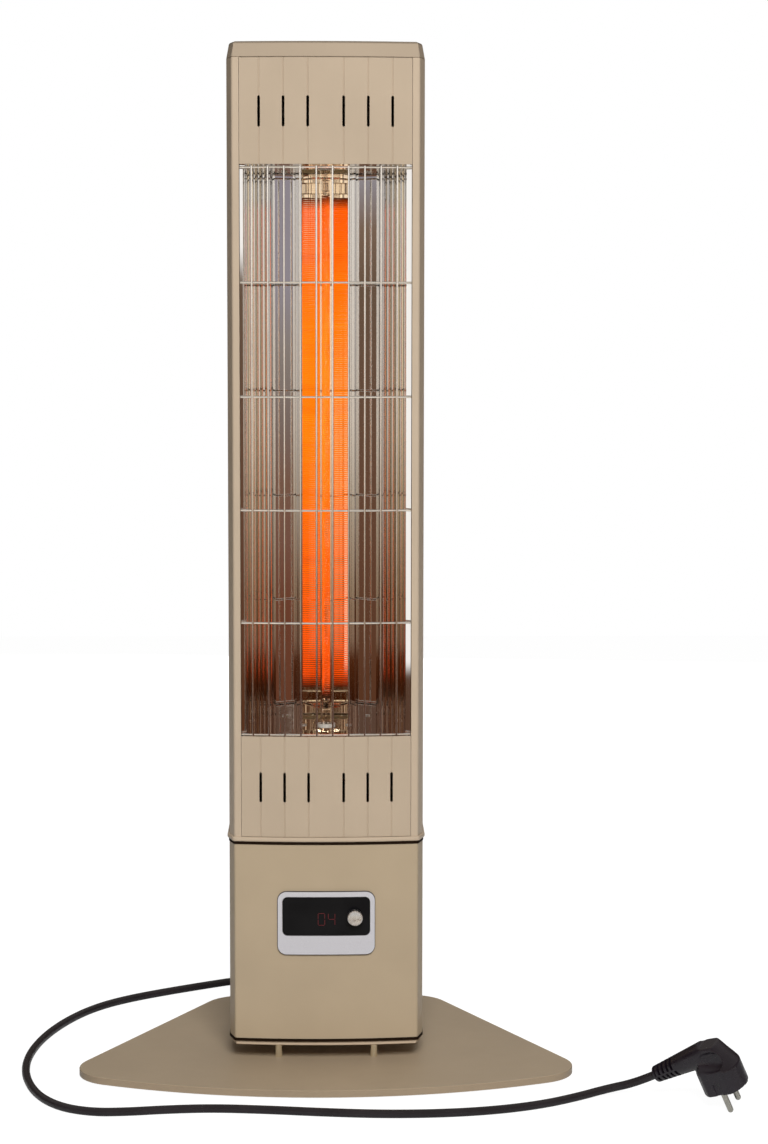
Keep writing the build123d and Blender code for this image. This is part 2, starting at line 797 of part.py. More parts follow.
# A plug of glass and foil closes each end of the coil's chamber, with a lead rod to the socket
with BuildPart() as lamp_seals:
    with Locations((0, lamp_y, coil_bottom - seal_gap), (0, lamp_y, coil_top + seal_gap + seal_length)):
        Cylinder(seal_radius, seal_length, align=(Align.CENTER, Align.CENTER, Align.MAX))
    fillet(lamp_seals.edges(), seal_radius / 3)
    with Locations((0, lamp_y, floor_lamp_end)):
        Cylinder(lead_rod_radius, coil_bottom - floor_lamp_end, align=upwards)
    with Locations((0, lamp_y, coil_top)):
        Cylinder(lead_rod_radius, ceiling_lamp_end - coil_top, align=upwards)
save(lamp_seals.part, "lamp_seals")

with BuildPart() as lamp_bushings:
    for inner_face, inward in ((floor_plate_top, 1), (ceiling_plate_bottom, -1)):
        with BuildSketch(Plane.XY.offset(inner_face)):
            with Locations((0, lamp_y)):
                Circle(bushing_radius)
                Circle(lamp_radius + bushing_bore_clearance, mode=Mode.SUBTRACT)
        extrude(amount=inward * bushing_flange)
        with BuildSketch(Plane.XY.offset(inner_face)):
            with Locations((0, lamp_y)):
                Circle(bushing_neck - thread_clearance)
                Circle(lamp_radius + bushing_bore_clearance, mode=Mode.SUBTRACT)
        extrude(amount=-inward * end_plate_sheet)
save(lamp_bushings.part, "lamp_bushings")

# Each ceramic socket stands between the lamp's end and the web of its bracket
with BuildPart() as lamp_holders:
    for lamp_end, away in ((floor_lamp_end, -1), (ceiling_lamp_end, 1)):
        with BuildSketch(Plane.XY.offset(lamp_end - away * holder_socket_depth)):
            with Locations((0, lamp_y)):
                Circle(holder_radius)
        extrude(amount=away * holder_height)
        with BuildSketch(Plane.XY.offset(lamp_end - away * holder_socket_depth)):
            with Locations((0, lamp_y)):
                Circle(lamp_radius + holder_socket_clearance)
        extrude(amount=away * holder_socket_depth, mode=Mode.SUBTRACT)
save(lamp_holders.part, "lamp_holders")

holder_web = holder_height - holder_socket_depth + lamp_beyond_plate

with BuildPart() as holder_brackets:
    for plate_face, away in ((floor_plate_bottom, -1), (ceiling_plate_top, 1)):
        web_face = plate_face + away * holder_web
        with BuildSketch(Plane.XZ.offset(-lamp_y)):
            with BuildLine():
                Polyline((-holder_bracket_half_span - holder_bracket_foot, plate_face),
                         (-holder_bracket_half_span + holder_bracket_sheet, plate_face),
                         (-holder_bracket_half_span + holder_bracket_sheet, web_face),
                         (holder_bracket_half_span - holder_bracket_sheet, web_face),
                         (holder_bracket_half_span - holder_bracket_sheet, plate_face),
                         (holder_bracket_half_span + holder_bracket_foot, plate_face),
                         (holder_bracket_half_span + holder_bracket_foot,
                          plate_face + away * holder_bracket_sheet),
                         (holder_bracket_half_span, plate_face + away * holder_bracket_sheet),
                         (holder_bracket_half_span, web_face + away * holder_bracket_sheet),
                         (-holder_bracket_half_span, web_face + away * holder_bracket_sheet),
                         (-holder_bracket_half_span, plate_face + away * holder_bracket_sheet),
                         (-holder_bracket_half_span - holder_bracket_foot,
                          plate_face + away * holder_bracket_sheet), close=True)
            make_face()
        extrude(amount=holder_bracket_depth / 2, both=True)
        with BuildSketch(Plane.XY.offset(web_face)):
            with Locations((0, lamp_y)):
                Circle(wire_hole_radius)
        extrude(amount=away * holder_bracket_sheet, mode=Mode.SUBTRACT)
        with BuildSketch(Plane.XY.offset(plate_face)):
            with Locations(*holder_rivet_points):
                Circle(rivet_radius + thread_clearance)
        extrude(amount=away * holder_bracket_sheet, mode=Mode.SUBTRACT)
save(holder_brackets.part, "holder_brackets")

# ---------------------------------------------------------------- reflector brackets, thermal cutout

bracket_web_y = reflector_back + reflector_sheet + seat_gap
casing_back_inside = back_depth - casing_wall

with BuildPart() as reflector_brackets:
    for z in bracket_zs:
        with BuildSketch(Plane.XY.offset(z - bracket_height / 2)):
            with BuildLine():
                half_points = [(bracket_half_span + bracket_sheet, bracket_web_y),
                               (bracket_half_span + bracket_sheet, casing_back_inside - bracket_sheet),
                               (bracket_half_span + bracket_sheet + bracket_foot,
                                casing_back_inside - bracket_sheet),
                               (bracket_half_span + bracket_sheet + bracket_foot, casing_back_inside),
                               (bracket_half_span, casing_back_inside),
                               (bracket_half_span, bracket_web_y + bracket_sheet)]
                Polyline(*half_points, *[(-x, y) for x, y in reversed(half_points)], close=True)
            make_face()
        extrude(amount=bracket_height)
    with BuildSketch(Plane.XZ.offset(-casing_back_inside)):
        with Locations(*bracket_screw_points):
            Circle(screw_radius + thread_clearance)
    extrude(amount=bracket_sheet, mode=Mode.SUBTRACT)
save(reflector_brackets.part, "reflector_brackets")

with BuildPart() as thermal_cutout:
    with Locations((cutout_x, cutout_y, ceiling_plate_top)):
        Cylinder(cutout_radius, cutout_height, align=upwards)
    with Locations((cutout_x - cutout_radius / 2, cutout_y, ceiling_plate_top + cutout_height),
                   (cutout_x + cutout_radius / 2, cutout_y, ceiling_plate_top + cutout_height)):
        Box(cutout_blade[1], cutout_blade[0], cutout_blade[2], align=upwards)
save(thermal_cutout.part, "thermal_cutout")

# ---------------------------------------------------------------- display and knob

display_cut_start = Plane.XZ.offset(front_crease - 2 * box_wall)
display_cut_reach = front_middle - front_crease + 4 * box_wall + bezel_thickness


def front_skin(thickness, bottom, height):
    """Sheet that follows the column plan just outside the control box's front."""
    with BuildPart() as skin:
        with BuildSketch(Plane.XY.offset(bottom)):
            add(body_plan(-surface_gap - thickness))
            add(body_plan(-surface_gap), mode=Mode.SUBTRACT)
        extrude(amount=height)
    return skin.part


with BuildPart() as bezel:
    add(front_skin(bezel_thickness, bezel_top - bezel_height, bezel_height))
    with BuildSketch(display_cut_start):
        with Locations((0, bezel_z)):
            RectangleRounded(bezel_width, bezel_height, bezel_corner)
    extrude(amount=display_cut_reach, mode=Mode.INTERSECT)
    front_face = bezel.faces().sort_by(Axis.Y)[0]
    fillet(front_face.outer_wire().edges(), bezel_edge_round)
    with BuildSketch(display_cut_start):
        with Locations((0, window_z)):
            RectangleRounded(window_width, window_height, window_corner)
    extrude(amount=display_cut_reach, mode=Mode.SUBTRACT)
save(bezel.part, "bezel")

with BuildPart() as display_window:
    add(front_skin(window_thickness, window_z - window_height / 2, window_height))
    with BuildSketch(display_cut_start):
        with Locations((0, window_z)):
            RectangleRounded(window_width - 2 * window_gap, window_height - 2 * window_gap, window_corner)
        with Locations((knob_x, window_z)):
            Circle(shaft_radius + shaft_hole_clearance, mode=Mode.SUBTRACT)
    extrude(amount=display_cut_reach, mode=Mode.INTERSECT)
save(display_window.part, "display_window")

control_front_y = -front_middle + control_board_setback
control_back_y = control_front_y + control_board[2]
control_post_points = [(x, window_z + z) for x in (-control_post_x, control_post_x)
                       for z in (-control_post_z, control_post_z)]
control_post_front = front_y(control_post_x + control_post_radius) + box_wall + thread_clearance

with BuildPart() as control_board_panel:
    with BuildSketch(Plane.XZ.offset(-control_back_y)):
        with Locations((0, window_z)):
            RectangleRounded(control_board[0], control_board[1], control_post_radius)
        with Locations(*control_post_points):
            Circle(small_screw_radius + screw_clearance, mode=Mode.SUBTRACT)
    extrude(amount=control_board[2])
save(control_board_panel.part, "control_board")

with BuildPart() as display_module:
    with BuildSketch(Plane.XZ.offset(-control_front_y)):
        with Locations((display_x, window_z)):
            Rectangle(display_block[0], display_block[1])
    extrude(amount=display_block[2])
save(display_module.part, "display_module")

encoder_front_y = control_front_y - encoder_body_size[2]
shaft_back_y = control_front_y - knob_travel - push_pad_stop_gap - push_pad_length
knob_back_y = front_y(knob_x) - surface_gap - window_thickness - knob_travel - knob_stop_gap

with BuildPart() as encoder_body:
    with BuildSketch(Plane.XZ.offset(-control_front_y)):
        with Locations((knob_x, window_z)):
            Rectangle(encoder_body_size[0], encoder_body_size[1])
    extrude(amount=encoder_body_size[2])
    with BuildSketch(Plane.XZ.offset(-encoder_front_y)):
        with Locations((knob_x, window_z)):
            Circle(encoder_bush_radius)
    extrude(amount=encoder_bush_length)
    with BuildSketch(Plane.XZ.offset(-control_front_y)):
        with Locations((knob_x, window_z)):
            Circle(shaft_radius + encoder_bore_clearance)
    extrude(amount=encoder_body_size[2] + encoder_bush_length, mode=Mode.SUBTRACT)
save(encoder_body.part, "encoder_body")

with BuildPart() as push_pad:
    with BuildSketch(Plane.XZ.offset(-shaft_back_y - push_pad_length)):
        with Locations((knob_x, window_z)):
            Circle(push_pad_radius)
    extrude(amount=push_pad_length)
save(push_pad.part, "encoder_push_pad")

with BuildPart() as encoder_shaft:
    with BuildSketch(Plane.XZ.offset(-shaft_back_y)):
        with Locations((knob_x, window_z)):
            Circle(shaft_radius)
    extrude(amount=shaft_back_y - knob_back_y + shaft_socket_depth - thread_clearance)
save(encoder_shaft.part, "encoder_shaft")

with BuildPart() as knob:
    with BuildSketch(Plane.XZ.offset(-knob_back_y)):
        with Locations((knob_x, window_z)):
            Circle(knob_radius)
    extrude(amount=knob_length)
    fillet(knob.edges().group_by(Axis.Y)[0], knob_edge_round)
    with BuildSketch(Plane.XZ.offset(-knob_back_y)):
        with Locations((knob_x, window_z)):
            with PolarLocations(knob_radius, knob_grip_count):
                Circle(knob_grip_radius)
    extrude(amount=knob_length - 2 * knob_edge_round, mode=Mode.SUBTRACT)
    with BuildSketch(Plane.XZ.offset(-knob_back_y)):
        with Locations((knob_x, window_z)):
            Circle(shaft_radius + thread_clearance)
    extrude(amount=shaft_socket_depth, mode=Mode.SUBTRACT)
save(knob.part, "knob")

# ---------------------------------------------------------------- power electronics

power_post_points = [(x, board_z + z)
                     for x in (power_post_inset - power_board[0] / 2, power_board[0] / 2 - power_post_inset)
                     for z in (power_post_inset - power_board[1] / 2, power_board[1] / 2 - power_post_inset)]
board_face = Plane.XZ.offset(-board_front_y)

with BuildPart() as power_board_panel:
    with BuildSketch(Plane.XZ.offset(-board_back_y)):
        with Locations((0, board_z)):
            RectangleRounded(power_board[0], power_board[1], power_post_radius)
        with Locations(*power_post_points):
            Circle(small_screw_radius + screw_clearance, mode=Mode.SUBTRACT)
    extrude(amount=power_board[2])
save(power_board_panel.part, "power_board")


def board_block(size, place):
    """Box-shaped component that stands on the front of the power board."""
    with BuildPart() as block:
        with BuildSketch(board_face):
            with Locations((place[0], board_z + place[1])):
                Rectangle(size[0], size[2])
        extrude(amount=size[1])
        fillet(block.faces().sort_by(Axis.Y)[0].edges(), small_head_height / 2)
    return block.part


save(board_block(relay_size, relay_at), "power_relay")
save(board_block(transformer_size, transformer_at), "supply_transformer")

with BuildPart() as heat_sink:
    with BuildSketch(board_face):
        with Locations((sink_at[0], board_z + sink_at[1])):
            Rectangle(sink_base[0], sink_base[2])
    extrude(amount=sink_base[1])
    with BuildSketch(Plane.XZ.offset(-board_front_y + sink_base[1])):
        for side in (-1, 1):
            for step in range(sink_fins_per_side):
                fin_x = side * (sink_base[0] / 2 - sink_fin_thickness / 2 - step * sink_fin_pitch)
                with Locations((sink_at[0] + fin_x, board_z + sink_at[1])):
                    Rectangle(sink_fin_thickness, sink_base[2])
    extrude(amount=sink_fin_height)
save(heat_sink.part, "heat_sink")

with BuildPart() as triac:
    with BuildSketch(Plane.XZ.offset(-board_front_y + sink_base[1])):
        with Locations((sink_at[0], board_z + sink_at[1])):
            Rectangle(triac_size[0], triac_size[2])
    extrude(amount=triac_size[1])
save(triac.part, "triac")

terminal_bottom = board_z + terminal_at[1] - terminal_size[2] / 2
with BuildPart() as terminal_block:
    with BuildSketch(board_face):
        with Locations((terminal_at[0], board_z + terminal_at[1])):
            Rectangle(terminal_size[0], terminal_size[2])
    extrude(amount=terminal_size[1])
    with BuildSketch(Plane.XZ.offset(-board_front_y + terminal_size[1])):
        with Locations((terminal_at[0], board_z + terminal_at[1])):
            with GridLocations(terminal_size[0] / 3, 1, 3, 1):
                Rectangle(*terminal_slot)
    extrude(amount=-terminal_slot[1], mode=Mode.SUBTRACT)
save(terminal_block.part, "terminal_block")

with BuildPart() as board_posts:
    with BuildSketch(Plane.XZ.offset(-board_back_y - power_post_length)):
        with Locations(*power_post_points):
            Circle(power_post_radius)
            Circle(small_screw_radius + thread_clearance, mode=Mode.SUBTRACT)
    extrude(amount=power_post_length)
    with BuildSketch(Plane.XZ.offset(-control_front_y)):
        with Locations(*control_post_points):
            Circle(control_post_radius)
            Circle(small_screw_radius + thread_clearance, mode=Mode.SUBTRACT)
    extrude(amount=control_front_y - control_post_front)
save(board_posts.part, "board_posts")

# ---------------------------------------------------------------- fasteners

def add_discs(seat, points, radius, height):
    """Add a disc on the seat plane at each point. A negative height grows it behind the plane."""
    with BuildSketch(seat) as discs:
        with Locations(*points):
            Circle(radius)
    extrude(discs.sketch, amount=height)


with BuildPart() as pan_head_screws:
    for seat, points, way, grip in (
            (Plane.XY.offset(cover_bottom), cover_screw_points, 1,
             cover_thickness + gasket_thickness + box_wall + thread_reach),
            (Plane.XY.offset(flange_top), box_screw_points, -1,
             flange_thickness + gasket_thickness + box_wall + thread_reach),
            (Plane.XY.offset(casing_top - casing_wall), cap_screw_points, 1,
             casing_wall + cap_screw_bite),
            (Plane.XZ.offset(-back_depth), bracket_screw_points, 1,
             casing_wall + bracket_sheet + thread_reach)):
        add_discs(seat, points, screw_head_radius, -way * screw_head_height)
        add_discs(seat, points, screw_radius, way * grip)
save(pan_head_screws.part, "pan_head_screws")

with BuildPart() as countersunk_screws:
    for bottom, points, length in (
            (plate_bottom, standoff_points, cover_top + nut_height + thread_reach - plate_bottom),
            (flange_bottom, casing_screw_points, flange_thickness + casing_wall + thread_reach)):
        with Locations(*[(x, y, bottom) for x, y in points]):
            Cone(countersink_radius, screw_radius, countersink_radius - screw_radius, align=upwards)
            Cylinder(screw_radius, length, align=upwards)
save(countersunk_screws.part, "countersunk_screws")

with BuildPart() as board_screws:
    for seat, points, way, grip in (
            (board_face, power_post_points, -1, power_board[2] + power_post_length / 2),
            (Plane.XZ.offset(-control_back_y), control_post_points, 1,
             control_board[2] + (control_front_y - control_post_front) / 2)):
        add_discs(seat, points, small_head_radius, -way * small_head_height)
        add_discs(seat, points, small_screw_radius, way * grip)
save(board_screws.part, "board_screws")

with BuildPart() as rivets:
    for side in (-1, 1):
        rivet_places = [(rivet_y, z) for z in rivet_zs]
        head_seat = Plane.YZ.offset(side * (panel_half_width - panel_sheet))
        tail_seat = Plane.YZ.offset(side * (opening_half_width + casing_wall))
        add_discs(head_seat, rivet_places, rivet_head_radius, -side * rivet_head_height)
        add_discs(head_seat, rivet_places, rivet_radius, side * (casing_wall + panel_gap + panel_sheet))
        add_discs(tail_seat, rivet_places, rivet_head_radius, side * rivet_head_height)
    for plate_face, away in ((floor_plate_bottom, -1), (ceiling_plate_top, 1)):
        head_seat = Plane.XY.offset(plate_face - away * end_plate_sheet)
        tail_seat = Plane.XY.offset(plate_face + away * holder_bracket_sheet)
        add_discs(head_seat, holder_rivet_points, rivet_head_radius, -away * rivet_head_height)
        add_discs(head_seat, holder_rivet_points, rivet_radius, away * (end_plate_sheet + holder_bracket_sheet))
        add_discs(tail_seat, holder_rivet_points, rivet_head_radius, away * rivet_head_height)
save(rivets.part, "rivets")

# ---------------------------------------------------------------- tilt switch

tilt_base_top = cover_top + tilt_sheet
tilt_pin_z = cover_top + tilt_height - tilt_pin_drop
tilt_outer_width = tilt_gap + 2 * tilt_sheet

with BuildPart() as tilt_bracket:
    with Locations((tilt_x, tilt_y, cover_top)):
        Box(tilt_outer_width, tilt_depth, tilt_height, align=upwards)
    with Locations((tilt_x, tilt_y, tilt_base_top)):
        Box(tilt_gap, tilt_depth, tilt_height, align=upwards, mode=Mode.SUBTRACT)
    with BuildSketch(Plane.YZ.offset(tilt_x - tilt_outer_width / 2)):
        with Locations((tilt_y, tilt_pin_z)):
            Circle(tilt_pin_radius + thread_clearance)
    extrude(amount=tilt_outer_width, mode=Mode.SUBTRACT)
save(tilt_bracket.part, "tilt_bracket")

with BuildPart() as tilt_pin:
    with BuildSketch(Plane.YZ.offset(tilt_x - tilt_outer_width / 2)):
        with Locations((tilt_y, tilt_pin_z)):
            Circle(tilt_pin_radius)
    extrude(amount=tilt_outer_width)
    with BuildSketch(Plane.YZ.offset(tilt_x - tilt_outer_width / 2)):
        with Locations((tilt_y, tilt_pin_z)):
            Circle(2 * tilt_pin_radius)
    extrude(amount=-tilt_pin_radius / 2)
save(tilt_pin.part, "tilt_pin")

with BuildPart() as tilt_pendulum:
    with Locations((tilt_x, tilt_y, tilt_pin_z)):
        Box(tilt_arm_thickness, tilt_arm_width, tilt_arm_length, align=(Align.CENTER, Align.CENTER, Align.MAX))
    with BuildSketch(Plane.YZ.offset(tilt_x - tilt_bob_length / 2)):
        with Locations((tilt_y, tilt_pin_z - tilt_arm_length)):
            Circle(tilt_bob_radius)
    extrude(amount=tilt_bob_length)
    with BuildSketch(Plane.YZ.offset(tilt_x - tilt_hub_length / 2)):
        with Locations((tilt_y, tilt_pin_z)):
            Circle(tilt_hub_radius)
    extrude(amount=tilt_hub_length)
    with BuildSketch(Plane.YZ.offset(tilt_x - tilt_hub_length / 2)):
        with Locations((tilt_y, tilt_pin_z)):
            Circle(tilt_pin_radius + tilt_pin_clearance)
    extrude(amount=tilt_hub_length, mode=Mode.SUBTRACT)
save(tilt_pendulum.part, "tilt_pendulum")

with BuildPart() as tilt_microswitch:
    with Locations((tilt_x + tilt_outer_width / 2, tilt_y, cover_top + tilt_height / 2)):
        Box(*microswitch_size, align=(Align.MIN, Align.CENTER, Align.CENTER))
save(tilt_microswitch.part, "tilt_microswitch")

# ---------------------------------------------------------------- cords and leads

def routed_tube(points, radius, name):
    """Round tube along straight runs joined by tangent arcs. Prints its bend radii."""
    vectors = [Vector(*point) for point in points]
    radii = []
    for before, corner, after in zip(vectors, vectors[1:], vectors[2:]):
        turn = radians((corner - before).get_angle(after - corner))
        shorter = min((corner - before).length, (after - corner).length)
        radii.append(bend_share * shorter / tan(turn / 2))
    with BuildPart() as tube:
        with BuildLine() as route:
            FilletPolyline(*vectors, radius=radii)
        start_direction = (vectors[1] - vectors[0]).normalized()
        with BuildSketch(Plane(vectors[0], z_dir=start_direction)):
            Circle(radius)
        sweep(transition=Transition.TRANSFORMED)
    length = route.wires()[0].length
    print(name, "length", round(length, 1), "radii", [round(r, 1) for r in radii])
    print(name, "volume share", round(tube.part.volume / (length * pi * radius ** 2), 5))
    return tube.part


relief_end_y = back_depth + relief_flange_thickness + relief_length
with BuildPart() as strain_relief:
    with BuildSketch(Plane.XZ.offset(-back_depth - relief_flange_thickness)):
        with Locations((0, gland_z)):
            Circle(relief_flange_radius)
    extrude(amount=relief_flange_thickness)
    with BuildSketch(Plane.XZ.offset(-back_depth)):
        with Locations((0, gland_z)):
            Circle(relief_neck_radius)
    extrude(amount=relief_neck_length)
    with BuildSketch(Plane.XZ.offset(-back_depth - relief_flange_thickness)):
        with Locations((0, gland_z)):
            Circle(relief_root_radius)
    with BuildSketch(Plane.XZ.offset(-relief_end_y)):
        with Locations((0, gland_z)):
            Circle(relief_tip_radius)
    loft()
save(strain_relief.part, "strain_relief")

with BuildPart() as relief_nut:
    with BuildSketch(Plane.XZ.offset(-back_depth + box_wall)):
        with Locations((0, gland_z)):
            RegularPolygon(relief_nut_radius, 6)
            Circle(relief_neck_radius + thread_clearance, mode=Mode.SUBTRACT)
    extrude(amount=relief_neck_length - box_wall - thread_clearance)
save(relief_nut.part, "relief_nut")

# The plug rests on the tip of one pin and on its cord. Its own frame has the pin line as X, the
# way the cord leaves as Y and the way from the contact face to the back as Z.
lean = radians(plug_lean)
roll = radians(plug_roll)
heading = radians(pin_line_heading)
pin_line = Vector(cos(heading) * cos(roll), sin(heading) * cos(roll), sin(roll))
level_cord_way = Vector(-sin(heading), cos(heading), 0)
rolled_up = pin_line.cross(level_cord_way)
plug_up = rolled_up * cos(lean) + level_cord_way * sin(lean)
cord_way = level_cord_way * cos(lean) - rolled_up * sin(lean)
plug_face_z = (pin_length - pin_radius) * plug_up.Z + pin_spacing / 2 * pin_line.Z + pin_radius + floor_gap
plug_face = Vector(*plug_place, plug_face_z)
plug_plane = Plane(plug_face, x_dir=pin_line, z_dir=plug_up)
plug_tip = plug_face + plug_up * plug_cable_height + cord_way * plug_cable_reach
neck_way = cord_way * cos(radians(plug_neck_droop)) - plug_up * sin(radians(plug_neck_droop))

cord_z = cord_diameter / 2 + floor_gap
cord_route = [
    (0, relief_end_y, gland_z), (0, relief_end_y + relief_straight_run, gland_z), (-1.5, 127, gland_z - 7),
    (-5, 152, gland_z - 21), (-11, 176, 14.5), (-21, 199, 5), (-38, 218, cord_z),
    (-59, 228, cord_z), (-83, 226, cord_z), (-112, 209, cord_z), (-150, 184.5, cord_z),
    (-186, 158, cord_z), (-212, 130, cord_z), (-232, 93, cord_z), (-248, 45, cord_z),
    (-257, -5, cord_z), (-259, -55, cord_z), (-253, -103, cord_z), (-238.5, -150, cord_z),
    (-217, -182, cord_z), (-190, -196.5, cord_z), (-162, -196, cord_z), (-128, -190, cord_z),
    (-92, -187.5, cord_z), (-50, -192, cord_z), (0, -200.5, cord_z), (50, -206, cord_z),
    (100, -204, cord_z), (142, -195.5, cord_z), (178, -181, cord_z), (208.7, -160.3, cord_z),
    (232, -147.5, 5.8), tuple(plug_tip + neck_way * plug_last_run), tuple(plug_tip)]
save(routed_tube(cord_route, cord_diameter / 2, "power_cord"), "power_cord")

with BuildPart() as plug_body:
    with BuildSketch(plug_plane):
        Circle(plug_face_radius)
    extrude(amount=plug_side_height)
    with BuildSketch(plug_plane.offset(plug_side_height)):
        Circle(plug_face_radius)
    with BuildSketch(plug_plane.offset(plug_body_height)):
        with Locations((0, plug_back_shift)):
            RectangleRounded(2 * plug_back_half_width, plug_back_length, plug_back_round)
    loft()
    fillet(plug_body.faces().sort_by(Axis(plug_face, plug_up))[-1].edges(), plug_face_round)
    # Flats to the left and right of the pins
    with BuildSketch(plug_plane):
        Rectangle(2 * plug_flat_half_width, 3 * plug_face_radius)
    extrude(amount=2 * plug_body_height, mode=Mode.INTERSECT)
    neck_axis = Plane(plug_tip - neck_way * plug_neck_length, x_dir=pin_line, z_dir=neck_way)
    with BuildSketch(neck_axis):
        Circle(plug_neck_root_radius)
    with BuildSketch(neck_axis.offset(plug_neck_length)):
        Circle(plug_neck_tip_radius)
    loft()
    for step in range(plug_rib_count):
        groove_at = plug_neck_length - plug_rib_pitch * (step + 1)
        with BuildSketch(neck_axis.offset(groove_at)):
            Circle(2 * plug_neck_root_radius)
            Circle(plug_neck_tip_radius - plug_rib_depth / 2, mode=Mode.SUBTRACT)
        extrude(amount=plug_rib_gap, mode=Mode.SUBTRACT)
    with BuildSketch(plug_plane):
        with GridLocations(pin_spacing, 1, 2, 1):
            Circle(pin_radius + thread_clearance)
    extrude(amount=pin_root, mode=Mode.SUBTRACT)
    with BuildSketch(plug_plane):
        with Locations((0, plug_face_radius), (0, -plug_face_radius)):
            Rectangle(earth_strip_width + 2 * surface_gap, 3 * earth_strip_thickness)
    extrude(amount=earth_strip_length, mode=Mode.SUBTRACT)
save(plug_body.part, "plug_body")

with BuildPart() as plug_pins:
    with BuildSketch(plug_plane.offset(pin_radius - pin_length)):
        with GridLocations(pin_spacing, 1, 2, 1):
            Circle(pin_radius)
    extrude(amount=pin_length - pin_radius + pin_root)
    with Locations(plug_plane.offset(pin_radius - pin_length)):
        with GridLocations(pin_spacing, 1, 2, 1):
            Sphere(pin_radius)
save(plug_pins.part, "plug_pins")

with BuildPart() as plug_earth_strips:
    with BuildSketch(plug_plane):
        for side in (-1, 1):
            with Locations((0, side * (plug_face_radius - earth_strip_thickness))):
                Rectangle(earth_strip_width, earth_strip_thickness)
    extrude(amount=earth_strip_length)
save(plug_earth_strips.part, "plug_earth_strips")

inner_lead_y = board_front_y - terminal_size[1] / 2
inner_lead_route = [(0, back_depth - relief_neck_length, gland_z), (0, inner_lead_y, gland_z),
                    (0, inner_lead_y, terminal_bottom)]
save(routed_tube(inner_lead_route, inner_lead_radius, "mains_lead"), "mains_lead")

lower_socket_end = floor_lamp_end + holder_socket_depth - holder_height
upper_socket_end = ceiling_lamp_end - holder_socket_depth + holder_height
lower_lead_route = [(0, lamp_y, lower_socket_end), (0, lamp_y, lower_socket_end - lead_drop),
                    (lead_hole_x - lead_spread, board_middle_y, flange_top + lead_rise),
                    (lead_hole_x - lead_spread, board_middle_y, board_top)]
save(routed_tube(lower_lead_route, wire_radius, "lower_lamp_lead"), "lower_lamp_lead")

upper_lead_y = (bracket_web_y + casing_back_inside) / 2
upper_lead_route = [(0, lamp_y, upper_socket_end), (0, lamp_y, upper_socket_end + lead_drop),
                    (upper_lead_x, upper_lead_y, upper_socket_end),
                    (upper_lead_x, upper_lead_y, flange_top + 2 * lead_rise),
                    (lead_hole_x + lead_spread, board_middle_y, flange_top + lead_rise),
                    (lead_hole_x + lead_spread, board_middle_y, board_top)]
save(routed_tube(upper_lead_route, wire_radius, "upper_lamp_lead"), "upper_lamp_lead")

harness_z = window_z - control_board[1] / 2 + 2 * harness_radius
harness_route = [(harness_x, control_back_y, harness_z), (harness_x, control_back_y + harness_run, harness_z),
                 (harness_x, board_front_y - harness_run, harness_z - harness_sag),
                 (harness_x, board_front_y, harness_z - harness_sag)]
save(routed_tube(harness_route, harness_radius, "board_harness"), "board_harness")
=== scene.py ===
from math import cos, pi, radians, sin, sqrt

import bmesh
import bpy
from mathutils import Matrix, Vector


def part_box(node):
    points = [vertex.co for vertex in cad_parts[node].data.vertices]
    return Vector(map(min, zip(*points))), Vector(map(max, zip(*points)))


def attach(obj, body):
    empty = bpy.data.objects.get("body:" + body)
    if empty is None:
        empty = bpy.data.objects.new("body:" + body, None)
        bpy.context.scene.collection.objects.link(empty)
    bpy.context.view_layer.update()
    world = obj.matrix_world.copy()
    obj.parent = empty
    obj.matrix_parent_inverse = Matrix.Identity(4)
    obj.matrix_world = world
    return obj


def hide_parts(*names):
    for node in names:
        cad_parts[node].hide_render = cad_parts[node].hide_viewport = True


# The looks of an infrared patio heater tower: a slotted column with a quartz lamp in a bright
# reflector, on a control box over a wide base plate. Metres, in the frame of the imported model:
# the origin is on the floor under the base plate, the front faces -Y and +Z is up.

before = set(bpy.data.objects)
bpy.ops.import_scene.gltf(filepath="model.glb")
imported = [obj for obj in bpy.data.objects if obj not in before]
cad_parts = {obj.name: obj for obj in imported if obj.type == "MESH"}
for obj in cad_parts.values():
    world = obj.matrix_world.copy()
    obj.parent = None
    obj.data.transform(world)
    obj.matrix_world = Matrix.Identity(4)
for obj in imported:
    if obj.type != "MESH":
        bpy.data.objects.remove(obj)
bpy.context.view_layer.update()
MM = 0.001

# ---------------------------------------------------------------- sizes

# As the CAD source has them, apart from the guard's thinner rods and its shift, the reflector's lip
# and rim, the wound coil and the plug's thicker neck
COLUMN_FRONT = 69.2 * MM
CREASE_HALF_WIDTH = 78.3 * MM
FRONT_SAG = 5.5 * MM
FRONT_RADIUS = (CREASE_HALF_WIDTH ** 2 + FRONT_SAG ** 2) / (2 * FRONT_SAG)
CASING_WALL = 1.2 * MM

GUARD_HOLE_CLEARANCE = 0.3 * MM
GUARD_WIRE_RADIUS = 0.9 * MM
GUARD_ROD_RADIUS = 0.8 * MM
GUARD_ROD_PITCH = 13.5 * MM
GUARD_ROD_COUNT = 10
GUARD_WIRE_COUNT = 6
GUARD_ROD_OVERRUN = 1.0 * MM
GUARD_WELD_GAP = 0.02 * MM
GUARD_END_HALF_WIDTH = 73.8 * MM
GUARD_SHIFT = -1.1 * MM

